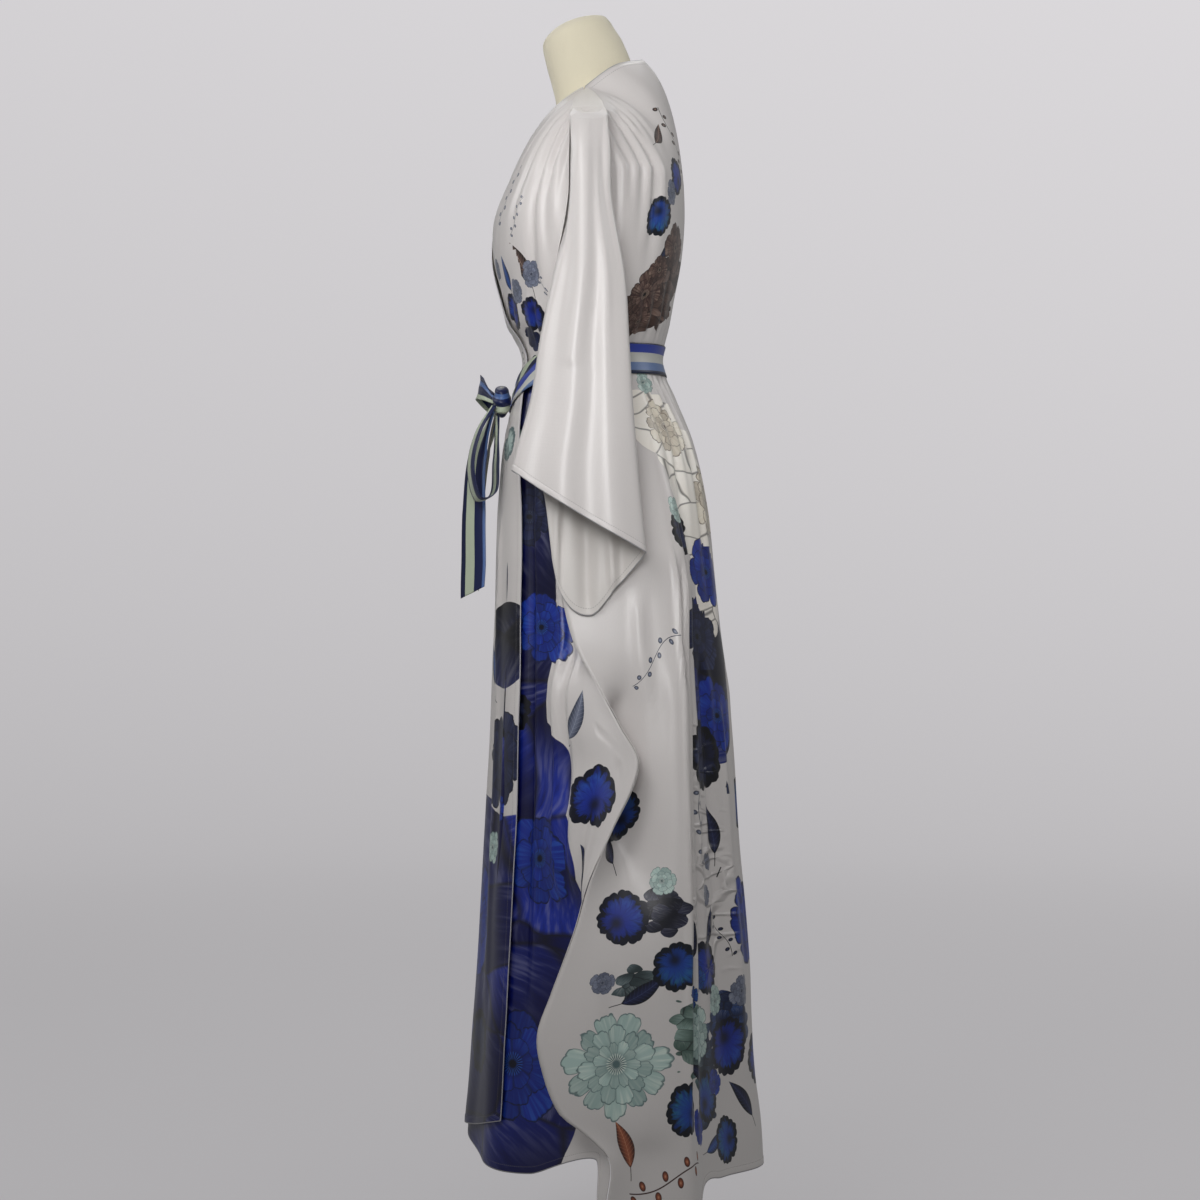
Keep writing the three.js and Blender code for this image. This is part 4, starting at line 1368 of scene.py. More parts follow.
    def sprigs(self, tree: Tree, colour: Shade) -> Socket:
        """Curved stems with small oval leaves on either side."""
        (x, y, _), (light, middle, dark) = self.local(tree, Motif.SPRIG)
        curve = y - (x * 2.6).sine() * 0.16
        on_stem = abs(x) < 1.0
        stem = (1 - abs(curve).step(0.01, 0.018)) * on_stem
        cell = x / 0.27
        side = (cell.floor() % 2.0) * 2 - 1
        across = ((cell % 1.0) - 0.5) * 0.27
        away = (curve - side * 0.15) / 0.11
        oval = ((across / 0.07) ** 2.0 + away * away) ** 0.5
        inside = (1 - oval.step(0.93, 1.0)) * on_stem
        body = tree.mix(oval.step(0.2, 1.0), middle, dark)
        return tree.mix(inside, tree.mix(stem, colour, dark), tree.mix(oval.step(0.0, 0.4), light, body))


@dataclass(frozen=True)
class Stripe:
    """One stripe of the belt, from a share of its width upwards."""

    start: float
    colour: tuple[int, int, int]


@dataclass(frozen=True)
class Ribbon:
    """Striped satin ribbon."""

    name: str
    stripes: tuple[Stripe, ...] = table(
        Stripe,
        (0.0, (18, 28, 64)),
        (0.05, (92, 118, 164)),
        (0.18, (192, 193, 188)),
        (0.34, (42, 62, 156)),
        (0.48, (16, 24, 60)),
        (0.56, (178, 188, 166)),
        (0.68, (18, 28, 72)),
        (0.8, (78, 106, 160)),
        (0.86, (18, 28, 72)),
        (0.94, (112, 110, 98)),
    )
    roughness: float = 0.38

    def material(self) -> Material:
        """Builds the ribbon; its UV map runs in metres, with 0 to 1 across in the hem map."""
        tree = Tree(self.name)
        uv = tree.flat("flat")
        _, across, _ = tree.split(tree.flat("hem"))
        stops = [(stripe.start, srgb(*stripe.colour)) for stripe in self.stripes]
        stripes = tree.node("ShaderNodeValToRGB", {"stops": stops, "ramp": "CONSTANT"}, {0: across})
        fine = tree.noise(tree.stretched(uv, (160, 1400, 1)), 1.0, 2.0)
        colour = tree.toned(stripes.outputs[0], fine * 0.12 + 0.93)
        others = {"Normal": tree.bump(fine, 0.0002, 0.5), "Sheen Weight": 0.1, "Sheen Roughness": 0.3}
        return tree.surface(colour, fine * 0.1 + (self.roughness - 0.05), others)


@dataclass(frozen=True)
class Jersey:
    """The dress form's fine knitted cover."""

    name: str
    colour: tuple[int, int, int] = (228, 220, 196)
    pitch: float = 0.0011

    def material(self) -> Material:
        """Builds the jersey."""
        tree = Tree(self.name)
        place = tree.node("ShaderNodeTexCoord").outputs["Object"]
        x, y, z = tree.split(place)
        turn = x.math("ARCTAN2", x, y + 0.045) * 0.05
        rib = ((turn / self.pitch) * math.pi).sine()
        loops = ((z / self.pitch + abs(rib) * 0.6) * math.pi * 1.4).sine()
        soft = tree.noise(place, 9.0, 3.0)
        fine = tree.noise(place, 700.0, 2.0)
        colour = tree.toned(srgb(*self.colour), soft * 0.08 + fine * 0.05 + 0.92)
        knit = tree.bump(rib * 0.5 + loops * 0.3 + fine, 0.00025, 0.5)
        others = {"Normal": knit, "Sheen Weight": 0.25, "Sheen Roughness": 0.5}
        return tree.surface(colour, fine * 0.1 + 0.78, others)


@dataclass(frozen=True)
class Steel:
    """Brushed steel, with its grain round the axis or along it."""

    name: str
    colour: tuple[int, int, int] = (190, 192, 194)
    roughness: float = 0.3

    def material(self) -> Material:
        """Builds the steel."""
        tree = Tree(self.name)
        place = tree.node("ShaderNodeTexCoord").outputs["Object"]
        x, y, z = tree.split(place)
        ring = (x * x + y * y) ** 0.5
        grain = tree.noise(tree.join(ring * 1800, z * 1800, 0.0), 1.0, 2.0)
        worn = tree.noise(place, 6.0, 4.0)
        colour = tree.toned(srgb(*self.colour), grain * 0.1 + worn * 0.08 + 0.86)
        others = {"Metallic": 1.0, "Normal": tree.bump(grain, 0.00004, 0.5)}
        return tree.surface(colour, grain * 0.12 + worn * 0.12 + (self.roughness - 0.1), others)


@dataclass(frozen=True)
class Backdrop:
    """Plain pale studio paper, with a painted glow of its own that brightens with distance and height."""

    name: str
    colour: tuple[int, int, int] = (140, 139, 141)
    glow: tuple[int, int, int] = (255, 252, 255)

    def material(self) -> Material:
        """Builds the paper."""
        tree = Tree(self.name)
        place = tree.node("ShaderNodeTexCoord").outputs["Object"]
        soft = tree.noise(place, 0.7, 2.0)
        colour = tree.toned(srgb(*self.colour), soft * 0.04 + 0.97)
        x, y, z = tree.split(place)
        # Painted light: the paper glows by its own emission, brighter with distance from the axis, with
        # height and towards +y.
        far = (x * x + y * y) ** 0.5 * 0.03 + z * 0.04 + y * 0.01 + 0.268
        glow = tree.mix(far, (0, 0, 0, 1), srgb(*self.glow))
        others = {"Specular IOR Level": 0.1, "Emission Color": glow, "Emission Strength": 1.0}
        return tree.surface(colour, 0.9, others)


# The gown

HEM_STEPS = (0.0, 2.5, 5.0, 7.5, 8.7, 9.8, 11.5, 15.0, 20.0)
# Millimetres in a station of the front, and the hem's mean height.
FRONT_STATION, HEM_MEAN = 90, 170
CREASE_DEPTH = 1.35
# How far the other side's creases may differ: stations, millimetres, share of the depth, and bow.
CREASE_SHIFT, CREASE_RISE, CREASE_SCALE, CREASE_BOW = 0.18, 22, 0.28, 6
# The right half of the back: how much higher its motifs are, and the first station that has no twin.
OTHER_RISE, ALONE = 26, 6.3


def spaced(steps: Sequence[float], length: float, count: int, end: float = 1.0) -> np.ndarray:
    """Places from 0 to end: a few close ones first, in millimetres of a length, then evenly spaced ones.

    Args:
        steps: the close ones, in millimetres.
        length: how many millimetres make 1.
        count: how many evenly spaced ones follow.
        end: the last place.

    Returns:
        The places.
    """
    close = np.array(steps) / length
    return np.concatenate([close, np.linspace(close[-1], end, count + 1)[1:]])


def varied(creases: Sequence[Crease], seed: int, amount: float = 1.0) -> list[Crease]:
    """Creases like the given ones, moved and scaled a little, for the gown's other side.

    Args:
        creases: the creases.
        seed: which variation they get.
        amount: how much they vary; 0 leaves them as they are.

    Returns:
        The varied ones, in the same order.
    """
    rng = random.Random(seed)
    out = []
    for crease in creases:
        shift = rng.uniform(-CREASE_SHIFT, CREASE_SHIFT) * amount
        rise = rng.uniform(-CREASE_RISE, CREASE_RISE) * amount
        scale = 1 + rng.uniform(-CREASE_SCALE, CREASE_SCALE) * amount
        out.append(
            dataclasses.replace(
                crease,
                start=Place(crease.start.station + shift, crease.start.z),
                end=Place(crease.end.station + shift * 0.5, crease.end.z + rise),
                depth=crease.depth * scale,
                width=crease.width * (2 - scale),
                bow=crease.bow + rng.uniform(-CREASE_BOW, CREASE_BOW) * amount,
            )
        )
    return out


def creases_of(*rows: tuple[float, ...]) -> list[Crease]:
    """Creases from rows of start station, start z, end station, end z, width, depth, bow and keep."""
    out = []
    for station, z, end_station, end_z, width, depth, bow, keep in rows:
        start, end = Place(station, z), Place(end_station, end_z)
        out.append(Crease(start, end, width, depth * CREASE_DEPTH, bow, keep=keep))
    return out


FRONT_CREASES = creases_of(
    # Gathers that fall from the shoulder seam over the bodice.
    (2.7, 1540, 3.0, 1250, 8, -6.0, 3, 0.55),
    (2.1, 1548, 2.0, 1330, 7, -3.2, 2, 0.3),
    (3.4, 1530, 3.7, 1300, 7, -4.0, -3, 0.35),
    (1.5, 1555, 1.1, 1400, 6, -2.2, 2, 0.2),
    (3.9, 1520, 4.2, 1360, 6, -3.0, 2, 0.3),
    # The wrap's slanted folds, drawn in under the belt.
    (0.4, 1235, 1.3, 1395, 6, -2.6, 5, 0.2),
    (1.0, 1232, 2.1, 1350, 7, -3.0, 7, 0.2),
    (1.7, 1230, 2.5, 1310, 5, -2.4, 4, 0.2),
    (2.4, 1230, 2.8, 1325, 5, -2.6, -2, 0.2),
    # Small gathers below the belt.
    (0.5, 1176, 0.5, 1010, 6, -2.6, 2, 0.15),
    (1.0, 1172, 0.95, 930, 7, -3.4, -3, 0.25),
    (1.5, 1174, 1.6, 1040, 5, -2.4, 2, 0.15),
    (2.0, 1176, 2.1, 900, 7, -3.6, 4, 0.25),
    (2.5, 1178, 2.6, 1020, 6, -2.6, -2, 0.2),
    (3.0, 1180, 3.1, 880, 8, -3.8, 3, 0.3),
    # Long folds of the skirt.
    (0.55, 1000, 0.5, 240, 11, 4.0, 4, 0.5),
    (1.3, 1040, 1.35, 230, 12, -4.4, -5, 0.5),
    (2.05, 980, 2.1, 210, 10, 4.4, 3, 0.5),
    (2.7, 1060, 2.75, 215, 9, -4.8, -3, 0.6),
    (3.4, 930, 3.45, 450, 7, 5.6, 2, 0.7),
    (3.62, 880, 3.66, 470, 8, -4.0, 2, 0.6),
    (4.2, 640, 4.0, 300, 16, -3.4, -8, 0.4),
    (4.55, 700, 4.75, 655, 4, -1.8, 2, 0.2),
    (4.4, 735, 4.75, 700, 4, -1.6, -2, 0.2),
)
BACK_CREASES = creases_of(
    # Gathers from the shoulder seam.
    (3.2, 1530, 2.9, 1290, 8, -5.0, 3, 0.4),
    (2.4, 1525, 2.2, 1330, 7, -4.2, -2, 0.35),
    (1.6, 1520, 1.5, 1350, 6, -3.4, 2, 0.3),
    (3.9, 1545, 3.7, 1380, 7, -2.8, 3, 0.2),
    (0.8, 1515, 0.8, 1300, 6, -3.0, -2, 0.3),
    (4.6, 1555, 4.4, 1430, 6, -1.8, 2, 0.2),
    # Slack drawn in above the belt.
    (3.4, 1236, 3.1, 1330, 5, -2.4, 3, 0.2),
    (4.2, 1238, 4.1, 1320, 6, -2.6, -3, 0.2),
    (5.0, 1240, 5.1, 1345, 6, -2.2, 3, 0.2),
    (6.0, 1241, 5.9, 1310, 5, -2.0, 2, 0.2),
    # Gathers and long folds under the belt.
    (3.6, 1184, 3.5, 1010, 6, -3.0, 2, 0.2),
    (4.1, 1186, 4.0, 860, 8, -4.2, -4, 0.3),
    (4.6, 1188, 4.6, 1000, 6, -3.0, 3, 0.2),
    (5.2, 1189, 5.2, 800, 8, -4.0, 4, 0.3),
    (5.8, 1190, 5.9, 990, 6, -2.8, -2, 0.2),
    (6.5, 1190, 6.5, 840, 8, -3.6, 3, 0.3),
    (3.1, 1000, 3.05, 240, 10, -4.6, -4, 0.6),
    (4.4, 820, 4.4, 190, 12, -4.4, 5, 0.5),
    (5.2, 760, 5.25, 180, 13, 4.4, -4, 0.5),
    (6.2, 800, 6.1, 180, 12, -4.2, 4, 0.5),
    (1.25, 900, 1.3, 500, 13, 3.2, 8, 0.4),
    (0.8, 430, 0.9, 170, 15, -3.4, -6, 0.4),
    # The standing fold behind the wing.
    (2.0, 960, 2.02, 150, 5, 5.5, 0, 0.7),
    (2.35, 940, 2.4, 160, 9, -6.5, 0, 0.7),
    (3.1, 760, 3.4, 640, 8, -2.0, 6, 0.3),
    (4.2, 620, 3.6, 540, 8, -2.0, -6, 0.3),
)
SLEEVE_CREASES = creases_of(
    # Soft folds that fall down the outer layer from the gathered head.
    (50, 1498, 42, 1090, 13, -3.2, 8, 0.4),
    (92, 1500, 88, 1180, 24, 2.4, -6, 0.4),
    (132, 1498, 130, 1010, 13, -3.0, 5, 0.4),
    (30, 1485, 26, 1200, 9, -2.6, -4, 0.3),
    (152, 1485, 154, 1130, 9, -2.6, 4, 0.3),
    (76, 1190, 64, 1000, 24, -1.6, 8, 0.3),
    # The inner layer.
    (250, 1400, 262, 1000, 17, -3.4, 6, 0.4),
    (287, 890, 282, 1260, 11, -6.0, 4, 0.5),
    (262, 876, 258, 1200, 13, 5.0, -3, 0.5),
    (238, 890, 232, 1200, 12, -5.4, -6, 0.5),
    (318, 1180, 306, 1010, 14, 3.0, -6, 0.4),
)


def stamps_of(motif: Motif, *rows: tuple) -> tuple[Stamp, ...]:
    """A motif's stamps, from rows of station, z, size, dye, petals and turn."""
    return tuple(Stamp(motif, Place(station, z), *rest) for station, z, *rest in rows)


FRONT_STAMPS = stamps_of(
    Motif.PETALS,
    (1.25, 470, 92, Dye.ROYAL, 5, 0),
    (3.0, 565, 66, Dye.ROYAL, 6, 25),
    (0.45, 690, 70, Dye.NAVY, 6, 60),
    (2.6, 300, 84, Dye.ROYAL, 6, 15),
    (2.95, 860, 54, Dye.ROYAL, 6, 20),
    (2.6, 1000, 46, Dye.NAVY, 5, 70),
) + stamps_of(
    Motif.BLOOM,
    (4.25, 655, 48, Dye.ROYAL, 5, 20),
    (2.2, 745, 40, Dye.NAVY, 6, 200),
    (0.8, 310, 50, Dye.NAVY, 7, 40),
    (1.5, 1275, 28, Dye.ROYAL, 5, 100),
    (2.55, 1262, 30, Dye.ROYAL, 5, 150),
    (0.5, 1100, 30, Dye.SAGE, 7, 0),
    (2.55, 1115, 30, Dye.ROYAL, 6, 0),
) + stamps_of(
    Motif.POSY,
    (4.15, 845, 22, Dye.TEAL, 5, 0),
    (2.1, 1235, 20, Dye.NAVY, 5, 0),
    (2.75, 1312, 20, Dye.SLATE, 6, 0),
    (0.7, 1335, 17, Dye.SLATE, 6, 0),
    (1.95, 1300, 18, Dye.SLATE, 6, 0),
    (1.9, 1105, 20, Dye.SAGE, 6, 0),
    (3.55, 385, 26, Dye.TEAL, 6, 0),
    (0.6, 570, 24, Dye.SAGE, 9, 0),
    (1.9, 620, 30, Dye.ROYAL, 11, 0),
) + stamps_of(
    Motif.LEAF,
    (4.05, 750, 38, Dye.SLATE, 1, 70),
    (4.45, 560, 34, Dye.NAVY, 1, 120),
    (2.4, 1330, 36, Dye.UMBER, 1, 122),
    (1.5, 1320, 26, Dye.TEAL, 1, 100),
    (1.1, 1225, 24, Dye.TEAL, 1, 70),
    (0.95, 800, 38, Dye.TEAL, 1, 60),
    (1.9, 960, 36, Dye.TEAL, 1, 76),
    (1.6, 1040, 30, Dye.SAGE, 1, 140),
    (3.25, 1240, 26, Dye.NAVY, 1, 40),
) + stamps_of(
    Motif.SPRIG,
    (1.3, 1425, 40, Dye.SLATE, 1, 65),
    (2.2, 1390, 26, Dye.SLATE, 1, 60),
    (4.5, 910, 34, Dye.SLATE, 1, 75),
    (0.55, 1200, 30, Dye.NAVY, 1, 80),
    (3.35, 1290, 22, Dye.SLATE, 1, 110),
)
FRONT_WASHES = (
    Wash(Place(1.0, 330), 270, 370, (20, 40, 146)),
    Wash(Place(2.7, 420), 128, 360, (22, 46, 156)),
    Wash(Place(2.5, 860), 62, 270, (18, 36, 128)),
    Wash(Place(0.4, 830), 74, 64, (22, 28, 70), 0.9),
    Wash(Place(2.2, 1150), 40, 90, (24, 44, 140), 0.8),
)
BACK_STAMPS = stamps_of(
    Motif.PETALS,
    (1.05, 320, 72, Dye.SAGE, 11, 0),
    (4.4, 850, 56, Dye.NAVY, 5, 20),
    (5.3, 930, 50, Dye.ROYAL, 6, 0),
    (4.2, 1120, 42, Dye.CREAM, 9, 0),
    (6.3, 1020, 60, Dye.CREAM, 9, 0),
    (6.0, 470, 66, Dye.ROYAL, 6, 0),
    (5.0, 740, 54, Dye.ROYAL, 6, 0),
    (2.75, 345, 42, Dye.SAGE, 8, 0),
    (3.6, 1288, 34, Dye.UMBER, 7, 0),
    (5.4, 1355, 38, Dye.UMBER, 6, 0),
) + stamps_of(
    Motif.BLOOM,
    (1.3, 625, 38, Dye.TEAL, 6, 30),
    (0.85, 500, 42, Dye.ROYAL, 6, 300),
    (1.8, 440, 38, Dye.TEAL, 6, 200),
    (3.55, 425, 40, Dye.ROYAL, 6, 120),
    (2.0, 262, 38, Dye.TEAL, 6, 60),
    (3.3, 270, 40, Dye.TEAL, 6, 330),
    (4.6, 320, 46, Dye.ROYAL, 6, 200),
    (4.3, 200, 34, Dye.TEAL, 6, 90),
    (6.6, 620, 44, Dye.TEAL, 7, 0),
    (3.35, 985, 40, Dye.NAVY, 6, 200),
    (4.1, 690, 50, Dye.NAVY, 5, 100),
    (6.1, 290, 46, Dye.ROYAL, 6, 0),
    (4.2, 1392, 30, Dye.TEAL, 6, 220),
    (5.5, 1452, 30, Dye.ROYAL, 6, 40),
) + stamps_of(
    Motif.POSY,
    (1.6, 545, 20, Dye.SAGE, 6, 0),
    (2.35, 395, 24, Dye.TEAL, 7, 0),
    (3.0, 420, 20, Dye.TEAL, 7, 0),
    (4.15, 380, 22, Dye.SAGE, 7, 0),
    (2.65, 235, 26, Dye.ROYAL, 6, 0),
    (3.9, 275, 20, Dye.ROYAL, 6, 0),
    (5.2, 385, 24, Dye.SLATE, 7, 0),
    (3.8, 520, 16, Dye.SLATE, 6, 0),
    (4.1, 555, 13, Dye.SLATE, 5, 0),
    (3.7, 1175, 18, Dye.SAGE, 7, 0),
    (3.0, 1010, 20, Dye.SAGE, 6, 0),
    (0.75, 420, 18, Dye.SLATE, 5, 0),
    (3.1, 1256, 18, Dye.UMBER, 6, 0),
    (4.4, 1326, 22, Dye.UMBER, 6, 0),
    (4.9, 1425, 18, Dye.SLATE, 6, 0),
) + stamps_of(
    Motif.LEAF,
    (1.3, 715, 30, Dye.SLATE, 1, 60),
    (0.6, 590, 34, Dye.NAVY, 1, 120),
    (1.35, 410, 34, Dye.NAVY, 1, 25),
    (2.55, 465, 34, Dye.NAVY, 1, 80),
    (2.7, 300, 34, Dye.NAVY, 1, 150),
    (3.95, 470, 30, Dye.NAVY, 1, 60),
    (5.1, 610, 52, Dye.NAVY, 1, 80),
    (3.75, 205, 30, Dye.TEAL, 1, 20),
    (5.1, 250, 34, Dye.NAVY, 1, 130),
    (0.75, 225, 34, Dye.RUST, 1, 100),
    (4.5, 600, 34, Dye.NAVY, 1, 100),
    (4.6, 1352, 22, Dye.NAVY, 1, 60),
    (4.9, 1500, 26, Dye.UMBER, 1, 40),
) + stamps_of(
    Motif.SPRIG,
    (1.5, 820, 40, Dye.SLATE, 1, 20),
    (3.5, 600, 46, Dye.SLATE, 1, 80),
    (1.6, 175, 60, Dye.RUST, 1, 10),
    (6.0, 1500, 46, Dye.UMBER, 1, 90),
    (4.6, 460, 34, Dye.NAVY, 1, 110),
)
BACK_WASHES = (
    Wash(Place(3.9, 1120), 60, 70, (255, 250, 242), 1.0, Layer.PLATES),
    Wash(Place(4.9, 1040), 66, 110, (255, 251, 244), 1.0, Layer.PLATES),
    Wash(Place(5.3, 920), 40, 90, (252, 246, 238), 1.0, Layer.PLATES),
    Wash(Place(4.9, 790), 66, 120, (26, 40, 112)),
    Wash(Place(2.4, 345), 58, 66, (128, 152, 144), 0.75, Layer.FOLIAGE),
    Wash(Place(3.2, 290), 46, 84, (28, 58, 96), 0.8, Layer.FOLIAGE),
    Wash(Place(4.7, 345), 60, 56, (30, 62, 118), 0.75, Layer.FOLIAGE),
    Wash(Place(1.6, 505), 36, 36, (44, 46, 70), 0.8, Layer.FOLIAGE),
    Wash(Place(1.3, 420), 40, 30, (96, 112, 116), 0.7, Layer.FOLIAGE),
    Wash(Place(4.2, 1268), 90, 34, (122, 98, 88), 0.9, Layer.FOLIAGE),
    Wash(Place(5.6, 1325), 64, 34, (112, 90, 82), 0.9, Layer.FOLIAGE),
    Wash(Place(3.95, 520), 70, 100, (0, 0, 0), 1.0, Layer.PRESSED),
    Wash(Place(3.8, 690), 40, 60, (0, 0, 0), 0.6, Layer.PRESSED),
)


def across_back(stamps: Sequence[Stamp]) -> tuple[Stamp, ...]:
    """The back's motifs on both sides, with the right side's moved and in other inks."""
    swap = {Dye.ROYAL: Dye.TEAL, Dye.TEAL: Dye.ROYAL, Dye.SAGE: Dye.CREAM}
    other = [
        dataclasses.replace(s, at=s.at.across(OTHER_RISE), dye=swap.get(s.dye, s.dye), turn=180 - s.turn)
        for s in stamps
        if s.at.station < ALONE
    ]
    return (*stamps, *other)


def both_sides(washes: Sequence[Wash]) -> tuple[Wash, ...]:
    """The back's washes on both sides, with the right side's moved."""
    return (*washes, *(dataclasses.replace(w, at=w.at.across(OTHER_RISE)) for w in washes))


@dataclass
class Gown:
    """The gown's fronts and back.

    Attributes:
        printed: the finish of the right side.
        reverse: the finish of the wrong side.
        front_columns: how many columns a front has.
        back_columns: how many columns the back has.
        rows: how many rows a panel has between hem and yoke.
        yoke_rows: how many rows its yoke has.
    """

    printed: Material
    reverse: Material
    front_columns: int = 96
    back_columns: int = 176
    rows: int = 150
    yoke_rows: int = 20

    def heights(self) -> tuple[np.ndarray, np.ndarray]:
        """The rows from hem to yoke, and those of the yoke."""
        rise = spaced(HEM_STEPS, YOKE_Z - HEM_MEAN, self.rows)
        return rise, np.linspace(0, 1, self.yoke_rows + 1)[1:]

    def dress(self, cloth: Cloth, design: Print, node: str) -> Piece:
        """Makes a panel's object, with its print and finishes."""
        piece = cloth.build()
        design.apply(piece, cloth)
        return hung(dressed(piece, (self.printed, self.reverse), node, SHELL))

    def front(self, name: str, node: str, edge: str, right: bool, seed: int) -> Piece:
        """Builds a front.

        Args:
            name: the piece's name.
            node: the solid that it stands for.
            edge: over or under, which names its hem and its free edge.
            right: True for the wearer's right.
            seed: which slack and variation it has.

        Returns:
            The piece.
        """
        panel = FrontPanel(edge, PULL_FRONT)
        stations = spaced(HEM_STEPS, FRONT_STATION, self.front_columns, 5.0)
        points = panel.grid(stations, *self.heights())
        if right:
            points[:, :, 0] *= -1
        cloth = Cloth(name, points, stations, inward=right, free_side=True)
        cloth.slacken(1.6, 46, seed)
        cloth.crease(varied(FRONT_CREASES, seed, 1.0 if right else 0.0))
        cloth.turn_hem()
        return self.dress(cloth, Print(FRONT_STAMPS, FRONT_WASHES), node)

    def back(self) -> Piece:
        """Builds the back in one piece."""
        panel = BackPanel("back", PULL_BACK)
        half = np.linspace(0, BACK_STATIONS / 2, self.back_columns // 2 + 1)
        points = panel.grid(half, *self.heights())
        other = points[:, -2::-1].copy()
        other[:, :, 0] *= -1
        stations = np.concatenate([half, BACK_STATIONS - half[-2::-1]])
        cloth = Cloth("gown_back", np.concatenate([points, other], axis=1), stations, neckline=(5, 9))
        cloth.slacken(1.6, 50, 31)
        mirrored = [
            dataclasses.replace(c, start=c.start.across(), end=c.end.across(), bow=-c.bow)
            for c in varied(BACK_CREASES, 8)
        ]
        cloth.crease(BACK_CREASES + mirrored)
        cloth.turn_hem()
        return self.dress(cloth, Print(across_back(BACK_STAMPS), both_sides(BACK_WASHES)), "back")

    def build(self) -> list[Piece]:
        """Builds the three panels."""
        return [
            self.front("gown_front_left", "front_left", "under", False, 5),
            self.front("gown_front_right", "front_right", "over", True, 17),
            self.back(),
        ]


@dataclass
class Sleeves:
    """The two wide sleeves, cut in plain satin.

    Attributes:
        satin: the finish of the right side.
        reverse: the finish of the wrong side.
        columns: how many columns go round the tube.
        head_rows: how many rows its head has.
        hang_rows: how many rows hang below.
    """

    satin: Material
    reverse: Material
    columns: int = 128
    head_rows: int = 18
    hang_rows: int = 84

    def sleeve(self, name: str, node: str, right: bool, seed: int) -> Piece:
        """Builds one sleeve.

        Args:
            name: the piece's name.
            node: the solid that it stands for.
            right: True for the wearer's right.
            seed: which slack and variation it has.

        Returns:
            The piece.
        """
        angles = np.linspace(0, 360, self.columns + 1)
        head = np.linspace(0, 1, self.head_rows + 1)
        length = SLEEVE_HANG[-1].z - CUFF_BACK
        hang = 1 - spaced(HEM_STEPS, length, self.hang_rows)[::-1]
        points = SleevePanel().grid(angles, head, hang)
        if right:
            points[:, :, 0] *= -1
        cloth = Cloth(name, points, angles, closed=True, inward=right)
        cloth.slacken(1.4, 50, seed)
        cloth.crease(varied(SLEEVE_CREASES, seed, 1.0 if right else 0.0))
        cloth.turn_hem(7.5)
        piece = dressed(cloth.build(), (self.satin, self.reverse), node, SHELL)
        return hung(piece)

    def build(self) -> list[Piece]:
        """Builds both sleeves."""
        return [
            self.sleeve("sleeve_left_satin", "sleeve_left", False, 3),
            self.sleeve("sleeve_right_satin", "sleeve_right", True, 23),
        ]


# The belt


@dataclass(frozen=True)
class RibbonPoint:
    """A place along a ribbon: its middle, the direction across it and its width."""

    at: Point
    across: Point
    width: float


BOW = {
    "belt_loop_left": table(
        RibbonPoint,
        ((35.8, -170.8, 1153.2), (0.95, 0.3, 0), 14),
        ((46, -192, 1118), (0.95, 0.3, 0), 32),
        ((52, -202, 1068), (0.95, 0.3, 0), 37),
        ((54, -190, 1027), (0.95, 0.3, 0.1), 37),
        ((52, -172, 1034), (0.95, 0.3, 0.1), 37),
        ((48, -168, 1078), (0.95, 0.3, 0), 34),
        ((33, -166.2, 1140.2), (0.97, 0.24, 0), 12),
    ),
    "belt_loop_right": table(
        RibbonPoint,
        ((15.6, -172.4, 1165), (0, -0.15, 0.99), 14),
        ((-14, -188, 1180), (0.3, 0.2, 0.92), 30),
        ((-48, -194, 1184), (0.3, 0.2, 0.92), 36),
        ((-72, -184, 1170), (0.35, 0, 0.92), 36),
        ((-62, -170, 1158), (0.35, 0, 0.92), 34),
        ((-22, -171, 1152), (0.3, 0.1, 0.95), 26),
        ((8, -167.4, 1157), (0.1, 0.1, 0.99), 12),
    ),
    "belt_tail_left": table(
        RibbonPoint,
        ((23, -171.6, 1148), (1, 0, 0), 11),
        ((14, -194, 1090), (0.45, 0.85, 0), 28),
        ((11, -199, 1010), (0.4, 0.9, 0), 35),
        ((11, -199, 940), (0.4, 0.9, 0.1), 37),
        ((12, -200, 904), (0.4, 0.9, 0.45), 39),
    ),
    "belt_tail_right": table(
        RibbonPoint,
        ((12.6, -166.6, 1146.7), (0.9, -0.4, 0), 9),
        ((-14, -182, 1090), (1, 0.15, 0), 30),
        ((-30, -190, 1020), (1, 0.1, 0), 36),
        ((-36, -194, 960), (1, 0, 0), 37),
        ((-37, -195, 912), (1, 0, 0.3), 39),
    ),
}


# The part of the folded ribbon's width that each loop and tail shows.
SHOWN = {
    "belt_loop_left": (0.49, 0.78),
    "belt_loop_right": (0.62, 0.93),
    "belt_tail_left": (0.5, 0.84),
    "belt_tail_right": (0.6, 1.0),
}


